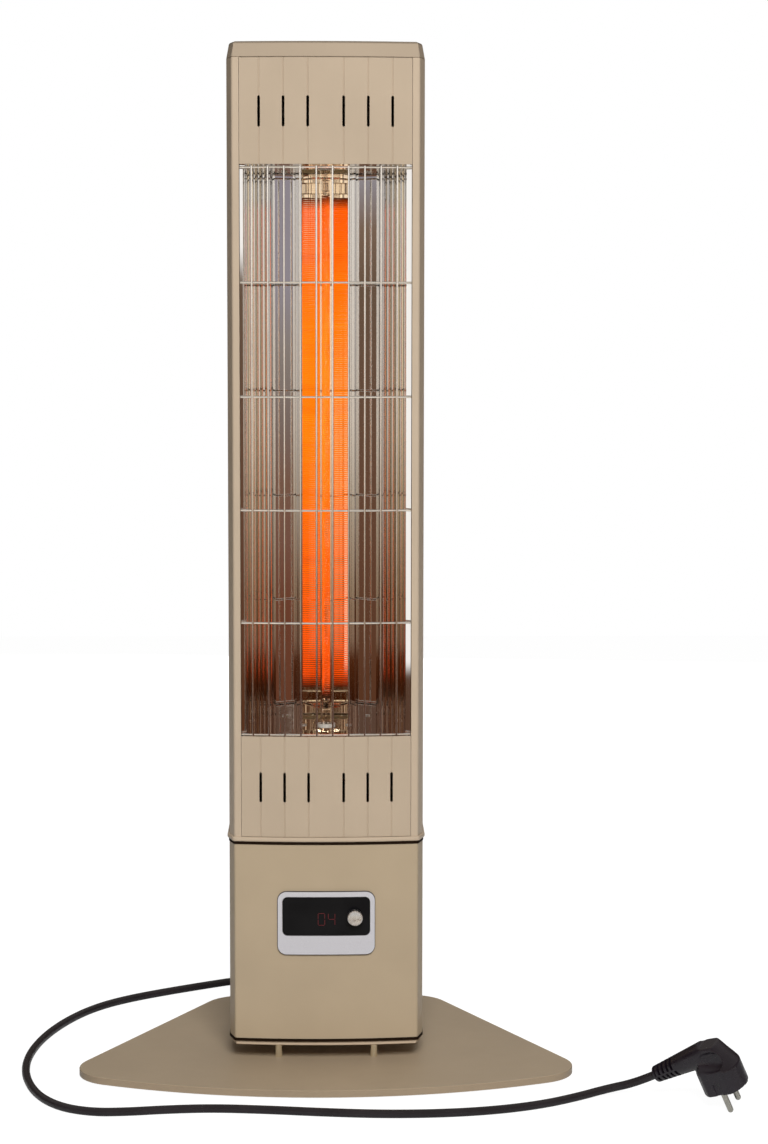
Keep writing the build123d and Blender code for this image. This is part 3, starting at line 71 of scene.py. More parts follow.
REFLECTOR_BACK = 23.0 * MM
REFLECTOR_SHEET = 0.8 * MM
TROUGH_HALF_WIDTH = 20.6 * MM
TROUGH_FOCUS = 24.0 * MM
RIDGE_HALF_WIDTH = 28.4 * MM
FACET_HALF_WIDTH = 44.0 * MM
FACET_DEPTH = 5.0 * MM
FLUTE_END_HALF_WIDTH = 67.3 * MM
FLUTE_END_DEPTH = 70.5 * MM
FLUTE_BULGE = 1.2 * MM
FLUTE_RIPPLE = 0.5 * MM
FLUTE_COUNT = 7
LIP_HALF_WIDTH = 67.7 * MM
LIP_DEPTH = 79.4 * MM
RIM_HALF_WIDTH = 71.9 * MM
RIM_DEPTH = 80.95 * MM

LAMP_Y = -3.0 * MM
COIL_RADIUS = 3.7 * MM
COIL_WIRE_RADIUS = 0.5 * MM
COIL_PITCH = 1.7 * MM
TUBE_RADIUS = 5.0 * MM
TUBE_BORE_RADIUS = 4.05 * MM

CORD_DIAMETER = 7.0 * MM
CORD_REST = 3.52 * MM
PLUG_PLACE = (0.3263, -0.1884)
PIN_LINE_HEADING = radians(62.1)
PLUG_ROLL = radians(16.8)
PLUG_LEAN = radians(17.8)
PLUG_FACE_RADIUS = 19.0 * MM
PLUG_CABLE_HEIGHT = 20.6 * MM
PLUG_CABLE_REACH = 56.7 * MM
PLUG_NECK_DROOP = radians(12.8)
PLUG_NECK_LENGTH = 52.0 * MM
PLUG_NECK_ROOT = 10.8 * MM
PLUG_NECK_TIP = 7.0 * MM
PLUG_RIB_PITCH = 4.6 * MM
PLUG_RIB_COUNT = 5
PLUG_LAST_RUN = 22.0 * MM
PIN_RADIUS = 2.4 * MM
PIN_LENGTH = 19.0 * MM
PIN_SPACING = 19.0 * MM
FLOOR_GAP = 0.02 * MM

WINDOW_PROUD = 1.55 * MM
DIGIT_HEIGHT = 10.2 * MM
DIGITS_LEFT = -6.9 * MM
DIGITS_DROP = 2.6 * MM


# ---------------------------------------------------------------- trees of nodes

def with_settings(made, **settings):
    """Set several properties of a new thing at once."""
    for key, value in settings.items():
        setattr(made, key, value)
    return made


class Nodes:
    """A tree of nodes under construction. An input takes a link from an output, or a plain value."""

    def __init__(self, tree, cleared=False):
        self.tree = tree
        if cleared:
            tree.nodes.clear()

    def feed(self, target, source):
        if isinstance(source, bpy.types.NodeSocket):
            self.tree.links.new(source, target)
        else:
            target.default_value = (*source, 1.0) if target.type == "RGBA" else source

    def node(self, kind, inputs=None, **settings):
        made = with_settings(self.tree.nodes.new(kind), **settings)
        for socket, source in (inputs or {}).items():
            self.feed(made.inputs[socket], source)
        return made

    def maths(self, operation, first, second=0.0):
        return self.node("ShaderNodeMath", {0: first, 1: second}, operation=operation).outputs["Value"]

    def axes(self, vector):
        """The X, Y and Z of a vector."""
        return self.node("ShaderNodeSeparateXYZ", {"Vector": vector}).outputs

    def spread(self, source, low, high, start=0.0, end=1.0, way="LINEAR"):
        """The source's values from start to end, spread from low to high."""
        return self.node("ShaderNodeMapRange", {
            "Value": source, "From Min": start, "From Max": end, "To Min": low, "To Max": high},
            interpolation_type=way).outputs["Result"]

    def ramp(self, source, *stops):
        """Colour for each value of the source, by stops of a value and a colour."""
        made = self.node("ShaderNodeValToRGB", {"Fac": source})
        elements = made.color_ramp.elements
        while len(elements) < len(stops):
            elements.new(0.5)
        for element, (place, colour) in zip(elements, stops):
            with_settings(element, position=place, color=(*colour, 1.0))
        return made.outputs["Color"]

    def blend(self, share, first, second, way="MIX"):
        """The first colour where the share is 0, the second where it is 1."""
        return self.node("ShaderNodeMix", {0: share, 6: first, 7: second},
                         data_type="RGBA", blend_type=way).outputs[2]


# ---------------------------------------------------------------- materials

class Finish(Nodes):
    """A material under construction: its shader and the coordinates that it is painted in."""

    def __init__(self, name, colour, roughness, metallic=0.0):
        self.material = bpy.data.materials.new(name)
        self.material.use_nodes = True
        super().__init__(self.material.node_tree)
        self.shader = self.tree.nodes["Principled BSDF"]
        self.place = self.node("ShaderNodeTexCoord").outputs["Object"]
        self.give("Base Color", colour)
        self.give("Roughness", roughness)
        self.give("Metallic", metallic)

    def give(self, label, source):
        """Set one of the shader's inputs."""
        self.feed(self.shader.inputs[label], source)

    def noise(self, scale, detail=2.0):
        """Cloudy noise. A scale for each axis makes grain that runs one way."""
        vector = self.place
        if isinstance(scale, tuple):
            vector = self.node("ShaderNodeMapping", {"Vector": vector, "Scale": scale}).outputs["Vector"]
            scale = 1.0
        return self.node("ShaderNodeTexNoise", {
            "Vector": vector, "Scale": scale, "Detail": detail}).outputs["Fac"]

    def tones(self, source, colour, dark, light, start=0.3, end=0.7):
        """Base colour that runs with the source, from dark to light times the given one."""
        tone = self.ramp(source, (start, shade(colour, dark)), (end, shade(colour, light)))
        self.give("Base Color", tone)
        return tone

    def rough(self, source, low, high, start=0.0, end=1.0):
        self.give("Roughness", self.spread(source, low, high, start, end))

    def bump(self, source, height, strength):
        """Relief of the given height in metres, on top of any relief that is already there."""
        made = self.node("ShaderNodeBump", {"Strength": strength, "Distance": height, "Height": source})
        before = self.shader.inputs["Normal"].links
        if before:
            self.feed(made.inputs["Normal"], before[0].from_socket)
        self.give("Normal", made.outputs["Normal"])


def shade(colour, factor):
    return tuple(min(1.0, channel * factor) for channel in colour)


def powder_coat(name, colour, detail=""):
    """Satin powder coat: fine orange peel, tiny tone changes and a faint metallic grain.

    A "hollow" piece gets painted shade inside, behind its front sheet. A "rim" gets painted shade along its
    upper edge."""
    coat = Finish(name, colour, 0.40, 0.05)
    tone = coat.tones(coat.noise(14.0, 3.0), colour, 0.965, 1.035)
    coat.rough(coat.noise(60.0), 0.36, 0.46)
    coat.bump(coat.noise(1600.0), 0.00002, 0.35)
    coat.bump(coat.noise(240.0, 1.0), 0.00003, 0.25)
    sheen, sheen_in_painted_shade = 0.4, 0.02
    coat.give("Specular IOR Level", sheen)
    place = coat.axes(coat.place)
    # Painted shade along the cap's upper edge: the colour falls to half over the top 2.2 mm
    if detail == "rim":
        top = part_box("top_cap")[1].z
        edge = coat.spread(place["Z"], 0.0, 1.0, top - 2.2 * MM, top - 1.2 * MM)
        coat.give("Base Color", coat.blend(edge, tone, shade(colour, 0.5)))
    # Painted shade in the slots: faces more than about a millimetre behind the curved front sheet go near
    # black and lose their sheen
    if detail == "hollow":
        square = coat.maths("POWER", coat.maths("ABSOLUTE", place["X"]), 2.0)
        bow = coat.maths("MULTIPLY", square, -0.5 / FRONT_RADIUS)
        depth = coat.maths("ADD", coat.maths("ADD", place["Y"], bow), COLUMN_FRONT)
        inside = coat.spread(depth, 0.0, 1.0, 0.9 * MM, 1.5 * MM)
        coat.give("Base Color", coat.blend(inside, tone, (0.006, 0.003, 0.002)))
        coat.give("Specular IOR Level", coat.spread(inside, sheen, sheen_in_painted_shade))
    return coat


def rolled_mirror(name, colour, waviness, *painted_reflection_heights):
    """Bright rolled sheet: fine lines along its length and a slight unevenness.

    The colours given for each height, from the foot of the reflector to the top, where it isn't the same,
    are a painted reflection."""
    metal = Finish(name, colour, 0.03, 1.0)
    lines = metal.noise((2200.0, 2200.0, 6.0), 3.0)
    metal.rough(lines, 0.012, 0.03)
    metal.bump(lines, 0.000004, 0.012)
    metal.bump(metal.noise((60.0, 60.0, 9.0)), waviness, 1.0)
    if painted_reflection_heights:
        bottom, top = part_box("reflector")
        height = metal.spread(metal.axes(metal.place)["Z"], 0.0, 1.0, bottom.z, top.z)
        metal.give("Base Color", metal.ramp(height, *painted_reflection_heights))
    return metal


def bright_wire(name, colour):
    """Chrome plate over drawn wire, with faint draw lines and slightly duller spots."""
    metal = Finish(name, colour, 0.09, 1.0)
    metal.rough(metal.noise(180.0), 0.03, 0.08)
    metal.tones(metal.noise(40.0), colour, 0.93, 1.05)
    metal.bump(metal.noise((3000.0, 3000.0, 60.0)), 0.000004, 0.2)
    return metal


def brushed_metal(name, colour, roughness, along):
    """Brushed metal with its lines along one axis."""
    metal = Finish(name, colour, roughness, 1.0)
    lines = metal.noise(along, 4.0)
    metal.rough(lines, roughness - 0.06, roughness + 0.12, 0.3, 0.7)
    metal.tones(lines, colour, 0.88, 1.1)
    metal.bump(lines, 0.00001, 0.3)
    return metal


def satin_silver(name, colour):
    """Silver lacquer over a moulded frame: fine flake and a soft sheen."""
    lacquer = Finish(name, colour, 0.34, 0.35)
    lacquer.tones(lacquer.noise(2200.0), colour, 0.92, 1.08)
    lacquer.rough(lacquer.noise(90.0), 0.30, 0.38)
    lacquer.bump(lacquer.noise(1500.0), 0.00001, 0.3)
    return lacquer


def plated_steel(name, colour):
    """Zinc plate: patchy bright spangle with soft tarnish."""
    metal = Finish(name, colour, 0.3, 1.0)
    patches = metal.node("ShaderNodeTexVoronoi", {"Scale": 420.0, "Vector": metal.place})
    metal.rough(patches.outputs["Distance"], 0.22, 0.42)
    metal.tones(metal.noise(90.0, 3.0), colour, 0.8, 1.12)
    metal.bump(metal.noise(900.0), 0.00001, 0.3)
    return metal


def moulded(name, colour, roughness, grain, relief, gloss=0.35):
    """Moulded plastic or rubber with a fine matt texture and faint flow marks."""
    plastic = Finish(name, colour, roughness)
    plastic.tones(plastic.noise(35.0, 3.0), colour, 0.8, 1.25)
    plastic.rough(plastic.noise(130.0), roughness - 0.07, roughness + 0.08, 0.3, 0.7)
    plastic.bump(plastic.noise(grain, 3.0), relief, 0.5)
    plastic.give("Specular IOR Level", gloss)
    return plastic


def glazed(name, colour):
    """Glazed ceramic with a clear coat over a speckled body."""
    ceramic = Finish(name, colour, 0.35)
    ceramic.tones(ceramic.noise(700.0, 3.0), colour, 0.85, 1.05, 0.35, 0.6)
    ceramic.bump(ceramic.noise(120.0), 0.00004, 0.3)
    ceramic.give("Coat Weight", 0.8)
    ceramic.give("Coat Roughness", 0.08)
    return ceramic


def quartz_glass(name, colour, roughness):
    """Fused quartz with faint draw lines along the tube."""
    glass = Finish(name, colour, roughness)
    glass.give("Transmission Weight", 1.0)
    glass.give("IOR", 1.15)
    glass.bump(glass.noise((900.0, 900.0, 12.0)), 0.00002, 0.3)
    return glass


def glowing_wire(name):
    """Resistance wire at orange heat: brighter towards the back, redder at the front and the ends."""
    wire = Finish(name, (0.12, 0.03, 0.01), 0.6)
    place = wire.axes(wire.place)
    bottom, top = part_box("heating_coil")
    cool_end = 12.0 * MM
    wire.give("Emission Color", wire.ramp(
        wire.spread(place["Z"], 0.0, 1.0, bottom.z, top.z),
        (0.0, (0.70, 0.055, 0.001)), (0.08, (0.95, 0.105, 0.001)), (0.27, (1.0, 0.15, 0.001)),
        (0.50, (1.0, 0.24, 0.004)), (0.74, (1.0, 0.24, 0.004)), (0.88, (0.98, 0.16, 0.003)),
        (1.0, (0.90, 0.11, 0.002))))
    glow = wire.spread(place["Y"], 0.8, 1.3, LAMP_Y - COIL_RADIUS, LAMP_Y + 0.3 * COIL_RADIUS)
    for share in (wire.spread(place["Z"], 0.0, 1.0, bottom.z, bottom.z + cool_end),
                  wire.spread(place["Z"], 1.0, 0.0, top.z - cool_end, top.z),
                  wire.spread(wire.noise(120.0), 0.85, 1.15, 0.3, 0.7)):
        glow = wire.maths("MULTIPLY", glow, share)
    wire.give("Emission Strength", glow)
    return wire


def circuit_board(name, colour):
    """Solder mask over a faint net of tracks."""
    board = Finish(name, colour, 0.3)
    cells = board.node("ShaderNodeTexVoronoi", {"Scale": 260.0, "Vector": board.place},
                       distance="MANHATTAN", feature="F2").outputs["Distance"]
    board.tones(cells, colour, 0.7, 1.8, 0.35, 0.55)
    board.bump(cells, 0.00003, 0.4)
    board.give("Coat Weight", 0.4)
    return board


def braided(name, colour):
    """Woven sleeve of a high-temperature lead."""
    sleeve = Finish(name, colour, 0.7)
    weave = sleeve.node("ShaderNodeTexWave", {"Scale": 500.0, "Distortion": 1.5, "Vector": sleeve.place},
                        bands_direction="DIAGONAL").outputs["Fac"]
    sleeve.tones(weave, colour, 0.7, 1.2, 0.0, 1.0)
    sleeve.bump(weave, 0.0001, 0.5)
    return sleeve


def dark_window(name):
    """Smoked acrylic: near black, glossy, with a barely uneven surface."""
    window = Finish(name, (0.006, 0.006, 0.007), 0.12)
    window.rough(window.noise(30.0), 0.08, 0.16)
    window.give("Base Color", window.ramp(window.noise(25.0), (0.3, (0.004, 0.004, 0.005)),
                                          (0.7, (0.009, 0.009, 0.010))))
    window.bump(window.noise(70.0, 1.0), 0.00001, 0.3)
    window.give("Specular IOR Level", 0.1)
    return window


def lit_digit(name, colour, strength):
    """Dim lit segment behind the smoked window."""
    digit = Finish(name, (0.02, 0.0, 0.0), 0.5)
    digit.give("Emission Color", colour)
    digit.give("Emission Strength", digit.spread(
        digit.noise(900.0, 1.0), 0.6 * strength, 1.3 * strength, 0.3, 0.7))
    return digit


TAUPE = (0.475, 0.378, 0.277)
SILVER = (0.635, 0.63, 0.67)
BRIGHT_SHEET = (0.90, 0.89, 0.88)
SHEET_WAVES = 0.000006
FINISHES = {}


def paint(piece, finish):
    """Give a piece one finish."""
    piece.data.materials.clear()
    piece.data.materials.append(FINISHES[finish])


# Each finish with the CAD nodes that wear it, how it is made, and its settings
for name, nodes, maker, *settings in (
        # Lighter than the panels' taupe: painted light on the column casing and its flange
        ("column_coat", "column_casing column_flange", powder_coat, (0.518, 0.412, 0.302)),
        # Darker than the panels' taupe: painted shade on the cap, with more painted shade along its upper
        # edge
        ("cap_coat", "top_cap", powder_coat, shade(TAUPE, 0.86), "rim"),
        ("panel_coat", "upper_panel lower_panel", powder_coat, TAUPE, "hollow"),
        # Darker and a little yellower than the panels' taupe: painted shade on the control box
        ("box_coat", "control_box", powder_coat, (0.435, 0.342, 0.231)),
        # Lighter than the panels' taupe: painted light on the bottom cover
        ("cover_coat", "bottom_cover", powder_coat, shade(TAUPE, 1.15)),
        # Darker and a little yellower than the panels' taupe: painted shade on the base plate
        ("base_coat", "base_plate", powder_coat, (0.430, 0.336, 0.230)),
        # Darker still: painted shade on the base plate's upright edge faces
        ("base_edge", "", powder_coat, (0.325, 0.247, 0.166)),
        ("gasket_rubber", "bottom_gasket column_gasket lead_grommet base_pads",
         moulded, (0.012, 0.006, 0.003), 0.75, 700.0, 0.00004, 0.1),
        ("stainless", "standoffs", brushed_metal, (1.0, 0.94, 0.80), 0.12, (1800.0, 1800.0, 40.0)),
        ("zinc_steel", "base_nuts countersunk_screws pan_head_screws board_screws tilt_pin tilt_pendulum "
         "reflector_brackets holder_brackets tilt_bracket", plated_steel, (0.62, 0.61, 0.58)),
        ("rivet_aluminium", "rivets", brushed_metal, (0.75, 0.74, 0.72), 0.3, (500.0, 500.0, 500.0)),
        ("reflector_mirror", "reflector", rolled_mirror, BRIGHT_SHEET, SHEET_WAVES),
        # Warm tint on the trough: a painted glow of the lamp
        ("trough_mirror", "", rolled_mirror, (0.90, 0.79, 0.60), SHEET_WAVES),
        # Duller, brownish low down and greyer higher up: a painted reflection on the fluted sides
        ("flute_mirror", "", rolled_mirror, (0.72, 0.71, 0.70), SHEET_WAVES,
         (0.0, (0.62, 0.46, 0.38)), (0.10, (0.61, 0.47, 0.40)), (0.17, (0.59, 0.47, 0.41)),
         (0.40, (0.59, 0.57, 0.55)), (1.0, (0.62, 0.62, 0.63))),
        ("end_plate_mirror", "reflector_floor reflector_ceiling", rolled_mirror, BRIGHT_SHEET, 0.0002),
        ("guard_chrome", "front_guard", bright_wire, (0.92, 0.90, 0.87)),
        ("quartz", "lamp_tube", quartz_glass, (0.98, 0.93, 0.90), 0.02),
        ("quartz_seal", "lamp_seals", quartz_glass, (0.72, 0.70, 0.68), 0.12),
        ("hot_coil", "heating_coil", glowing_wire),
        ("ceramic", "lamp_holders lamp_bushings", glazed, (0.60, 0.56, 0.50)),
        ("bezel_silver", "bezel", satin_silver, SILVER),
        # Near black: a painted shadow for the gap round the bezel, on its rounded rim
        ("bezel_edge", "", moulded, (0.06, 0.055, 0.055), 0.5, 900.0, 0.00002),
        ("window_black", "display_window", dark_window),
        ("knob_silver", "knob", brushed_metal, (0.72, 0.71, 0.70), 0.24, (1200.0, 60.0, 1200.0)),
        ("board_green", "control_board power_board", circuit_board, (0.03, 0.16, 0.07)),
        ("component_black", "display_module power_relay supply_transformer triac tilt_microswitch "
         "encoder_push_pad", moulded, (0.02, 0.02, 0.021), 0.45, 900.0, 0.00004),
        ("encoder_metal", "encoder_body encoder_shaft thermal_cutout", plated_steel, (0.60, 0.60, 0.60)),
        ("sink_aluminium", "heat_sink", brushed_metal, (0.55, 0.55, 0.56), 0.35, (900.0, 900.0, 30.0)),
        ("nylon_white", "board_posts terminal_block", moulded, (0.72, 0.70, 0.64), 0.45, 600.0, 0.00003),
        ("cord_black", "power_cord strain_relief mains_lead",
         moulded, (0.014, 0.011, 0.013), 0.36, 1200.0, 0.00002),
        ("plug_black", "plug_body relief_nut", moulded, (0.009, 0.006, 0.010), 0.30, 800.0, 0.00002, 0.5),
        ("plug_metal", "plug_pins plug_earth_strips",
         brushed_metal, (0.46, 0.45, 0.40), 0.28, (700.0, 700.0, 700.0)),
        ("silicone_lead", "lower_lamp_lead upper_lamp_lead", braided, (0.50, 0.14, 0.06)),
        ("harness_sleeve", "board_harness", braided, (0.05, 0.05, 0.055)),
        ("digit_red", "", lit_digit, (0.42, 0.02, 0.04), 0.19)):
    FINISHES[name] = maker(name, *settings).material
    for node in nodes.split():
        paint(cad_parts[node], name)


# ---------------------------------------------------------------- making pieces

def seat(piece, finish, body="root", replaces=()):
    """Finish a piece, let it ride on a body and hide the nodes that it stands for."""
    paint(piece, finish)
    if replaces:
        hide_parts(*replaces)
    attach(piece, body)
    return piece


def new_piece(name, data):
    piece = bpy.data.objects.new(name, data)
    bpy.context.scene.collection.objects.link(piece)
    return piece


def smooth(mesh, angle=30.0):
    """Smooth shading with hard edges where faces meet at more than the angle, in degrees."""
    mesh.polygons.foreach_set("use_smooth", [True] * len(mesh.polygons))
    mesh.set_sharp_from_angle(angle=radians(angle))


def mesh_from(name, points, faces, angle=30.0):
    """Mesh from points and faces, with doubles merged and its faces turned outwards."""
    mesh = bpy.data.meshes.new(name)
    mesh.from_pydata([tuple(point) for point in points], [], faces)
    work = bmesh.new()
    work.from_mesh(mesh)
    bmesh.ops.remove_doubles(work, verts=work.verts, dist=1e-7)
    bmesh.ops.recalc_face_normals(work, faces=work.faces)
    work.to_mesh(mesh)
    work.free()
    smooth(mesh, angle)
    return mesh


def applied(piece):
    """Turn a piece's modifiers into plain mesh."""
    graph = bpy.context.evaluated_depsgraph_get()
    mesh = bpy.data.meshes.new_from_object(piece.evaluated_get(graph))
    piece.modifiers.clear()
    piece.data = mesh
    return piece


def modify(piece, kind, **settings):
    return with_settings(piece.modifiers.new(kind.lower(), kind), **settings)


def eased(node, width, finish, fold=30.0):
    """Copy of a CAD node with its sharp edges eased, as sheet and mouldings really have them.

    Faces that meet at more than the fold angle, in degrees, keep a hard line between them."""
    work = bmesh.new()
    work.from_mesh(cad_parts[node].data)
    bmesh.ops.remove_doubles(work, verts=work.verts, dist=2e-6)
    bmesh.ops.dissolve_limit(work, angle_limit=radians(0.6), verts=work.verts, edges=work.edges)
    mesh = bpy.data.meshes.new(node + "_eased")
    work.to_mesh(mesh)
    work.free()
    piece = new_piece(node + "_eased", mesh)
    modify(piece, "BEVEL", width=width, segments=2, limit_method="ANGLE", angle_limit=radians(30.0))
    smooth(applied(piece).data, fold)
    modify(piece, "WEIGHTED_NORMAL", keep_sharp=True)
    return seat(applied(piece), finish, replaces=[node])


def repaint(piece, finish, wanted):
    """Give another finish to the faces that are wanted."""
    piece.data.materials.append(FINISHES[finish])
    for face in piece.data.polygons:
        if wanted(face):
            face.material_index = len(piece.data.materials) - 1


def ring_faces(rings, spokes, ends="capped"):
    """Faces between rings of points. The ends are capped, open or joined to each other."""
    faces = []
    for ring in range(rings if ends == "joined" else rings - 1):
        this, following = ring * spokes, (ring + 1) % rings * spokes
        for spoke in range(spokes):
            right = (spoke + 1) % spokes
            faces.append((this + spoke, this + right, following + right, following + spoke))
    if ends == "capped":
        faces += [tuple(range(spokes)), tuple(range((rings - 1) * spokes, rings * spokes))]
    return faces


def turned_points(profile, origin, along, side, spokes, ripple=None):
    """Rings of points about an axis, from (distance along, radius) pairs.

    ripple gives a change of radius for a turn angle and a distance along the axis."""
    third = along.cross(side)
    points = []
    for reach, radius in profile:
        for spoke in range(spokes):
            turn = 2 * pi * spoke / spokes
            size = radius + (ripple(turn, reach) if ripple else 0.0)
            points.append(origin + along * reach + (side * cos(turn) + third * sin(turn)) * size)
    return points


def turned(name, profile, origin, along, side, spokes, angle, ripple=None, ends="capped"):
    """Piece turned about an axis."""
    points = turned_points(profile, Vector(origin), Vector(along), Vector(side), spokes, ripple)
    return new_piece(name, mesh_from(name, points, ring_faces(len(profile), spokes, ends), angle))


# ---------------------------------------------------------------- trees of nodes that grow a piece

class Tree(Nodes):
    """A geometry tree under construction, with named inputs and one output."""

    KINDS = {float: "Float", int: "Int", tuple: "Vector", type(None): "Material"}

    def __init__(self, name, **inputs):
        super().__init__(bpy.data.node_groups.new(name, "GeometryNodeTree"))
        sockets = self.tree.interface
        sockets.new_socket("Geometry", in_out="INPUT", socket_type="NodeSocketGeometry")
        for label, value in inputs.items():
            kind = "NodeSocket" + self.KINDS[type(value)]
            socket = sockets.new_socket(label, in_out="INPUT", socket_type=kind)
            if value is not None:
                socket.default_value = value
        sockets.new_socket("Geometry", in_out="OUTPUT", socket_type="NodeSocketGeometry")
        self.given = self.tree.nodes.new("NodeGroupInput").outputs

    def vector(self, x=0.0, y=0.0, z=0.0):
        return self.node("ShaderNodeCombineXYZ", {"X": x, "Y": y, "Z": z}).outputs["Vector"]

    def row(self, count, start, offset, mode="OFFSET"):
        """Points in a row, by the step between them or by their last place (END_POINTS)."""
        return self.node("GeometryNodeMeshLine", {
            "Count": count, "Start Location": start, "Offset": offset}, mode=mode).outputs["Mesh"]

    def moved(self, geometry, place):
        return self.node("GeometryNodeSetPosition", {
            "Geometry": geometry, "Position": place}).outputs["Geometry"]

    def repeated(self, points, curve):
        """The curve once on every point."""
        copies = self.node("GeometryNodeInstanceOnPoints", {"Points": points, "Instance": curve})
        return self.node("GeometryNodeRealizeInstances", {
            "Geometry": copies.outputs["Instances"]}).outputs["Geometry"]

    def swept(self, curve, radius, resolution):
        """Round wire along a curve."""
        ring = self.node("GeometryNodeCurvePrimitiveCircle", {"Resolution": resolution, "Radius": radius})
        return self.node("GeometryNodeCurveToMesh", {
            "Curve": curve, "Profile Curve": ring.outputs["Curve"], "Fill Caps": True}).outputs["Mesh"]

    def finish(self, geometry, material):
        """End the tree: real geometry, smooth, with its material."""
        real = self.node("GeometryNodeRealizeInstances", {"Geometry": geometry}).outputs["Geometry"]
        even = self.node("GeometryNodeSetShadeSmooth", {"Geometry": real}).outputs["Geometry"]
        painted = self.node("GeometryNodeSetMaterial", {"Geometry": even, "Material": material})
        self.node("NodeGroupOutput", {"Geometry": painted.outputs["Geometry"]})
        return self.tree


def grown(name, group, **values):
    """Piece grown by a geometry tree, as plain mesh."""
    piece = new_piece(name, bpy.data.meshes.new(name))
    modifier = piece.modifiers.new("grow", "NODES")
    modifier.node_group = group
    for item in group.interface.items_tree:
        if item.in_out == "INPUT" and item.name in values:
            modifier[item.identifier] = values[item.name]
    return applied(piece)


# ---------------------------------------------------------------- the plug's own frame

# It rests on the tip of one pin and on its cord.
level_cord_way = Vector((-sin(PIN_LINE_HEADING), cos(PIN_LINE_HEADING), 0.0))
pin_line = Vector((cos(PIN_LINE_HEADING) * cos(PLUG_ROLL), sin(PIN_LINE_HEADING) * cos(PLUG_ROLL),
                   sin(PLUG_ROLL)))
rolled_up = pin_line.cross(level_cord_way)
plug_up = rolled_up * cos(PLUG_LEAN) + level_cord_way * sin(PLUG_LEAN)
cord_way = level_cord_way * cos(PLUG_LEAN) - rolled_up * sin(PLUG_LEAN)
plug_face = Vector((*PLUG_PLACE, (PIN_LENGTH - PIN_RADIUS) * plug_up.z + PIN_SPACING / 2 * pin_line.z
                    + PIN_RADIUS + FLOOR_GAP))
plug_tip = plug_face + plug_up * PLUG_CABLE_HEIGHT + cord_way * PLUG_CABLE_REACH
neck_way = cord_way * cos(PLUG_NECK_DROOP) - plug_up * sin(PLUG_NECK_DROOP)


def plug_point(across, back, up):
    """Point in the plug's own frame: along the pin line, towards the cord, away from the face."""
    return plug_face + pin_line * across + cord_way * back + plug_up * up


# ---------------------------------------------------------------- cord

CORD_DROP = (
    (0.0, 0.079, 0.050), (0.0, 0.101, 0.050), (-0.0015, 0.127, 0.043), (-0.005, 0.152, 0.029),
    (-0.011, 0.176, 0.0145), (-0.021, 0.199, 0.005))
CORD_ON_FLOOR = (
    (-0.038, 0.218), (-0.059, 0.228), (-0.083, 0.226), (-0.112, 0.209), (-0.150, 0.1845),
    (-0.186, 0.158), (-0.212, 0.130), (-0.232, 0.093), (-0.248, 0.045), (-0.257, -0.005),
    (-0.259, -0.055), (-0.253, -0.103), (-0.2385, -0.150), (-0.217, -0.182), (-0.190, -0.1965),
    (-0.162, -0.196), (-0.128, -0.190), (-0.092, -0.1875), (-0.050, -0.192), (0.0, -0.2005),
    (0.050, -0.206), (0.100, -0.204), (0.142, -0.1955), (0.178, -0.181), (0.2087, -0.1603))
CORD_LIFT = (0.232, -0.1475, 0.0058)


def make_cord():
    """The power cord: one smooth line on the floor, from the strain relief to the plug."""
    curve = with_settings(bpy.data.curves.new("cord", "CURVE"), dimensions="3D", resolution_u=10,
                          bevel_depth=CORD_DIAMETER / 2, bevel_resolution=6, use_fill_caps=True)
    spline = curve.splines.new("NURBS")
    route = [*CORD_DROP, *((x, y, CORD_REST) for x, y in CORD_ON_FLOOR), CORD_LIFT,
             plug_tip + neck_way * PLUG_LAST_RUN, plug_tip]
    spline.points.add(len(route) - 1)
    for point, place in zip(spline.points, route):
        point.co = (*place, 1.0)
    spline.order_u = 3
    spline.use_endpoint_u = True
    return new_piece("cord", curve)


cord = make_cord()
seat(cord, "cord_black", replaces=["power_cord"])

# ---------------------------------------------------------------- plug and strain relief

def plug_ring(rise):
    """One section of the head: a circle with two flats at the face, a rounded grip at the back."""
    side_height, height, flat = 20.0 * MM, 40.0 * MM, 16.2 * MM
    grip_across, grip_back, grip_shift, squareness = 9.0 * MM, 7.5 * MM, 0.5 * MM, 4.0
    up = rise * height
    lift = max(0.0, (up - side_height) / (height - side_height))
    points = []
    spokes = 96
    for spoke in range(spokes):
        turn = 2 * pi * spoke / spokes
        c, s = cos(turn), sin(turn)
        face_across = max(-flat, min(flat, PLUG_FACE_RADIUS * c))
        square = (abs(c) ** squareness + abs(s) ** squareness) ** (-1 / squareness)
        across = face_across * (1 - lift) + grip_across * square * c * lift
        back = PLUG_FACE_RADIUS * s * (1 - lift) + (grip_shift + grip_back * square * s) * lift
        points.append(plug_point(across, back, up))
    return points


def make_cutter(name, centre, along, up, half_sizes, block=False):
    """Ellipsoid or block, turned to two given ways, that a moulding is hollowed with."""
    work = bmesh.new()
    if block:
        bmesh.ops.create_cube(work, size=2.0)
    else:
        bmesh.ops.create_uvsphere(work, u_segments=48, v_segments=32, radius=1.0)
    mesh = bpy.data.meshes.new(name)
    work.to_mesh(mesh)
    work.free()
    cutter = new_piece(name, mesh)
    along, up = along.normalized(), up.normalized()
    turn = Matrix((along, up.cross(along), up)).transposed().to_4x4()
    mesh.transform(Matrix.Translation(centre) @ turn @ Matrix.Diagonal((*half_sizes, 1.0)))
    return cutter


def neck_radius(reach):
    return PLUG_NECK_ROOT + (PLUG_NECK_TIP - PLUG_NECK_ROOT) * reach / PLUG_NECK_LENGTH


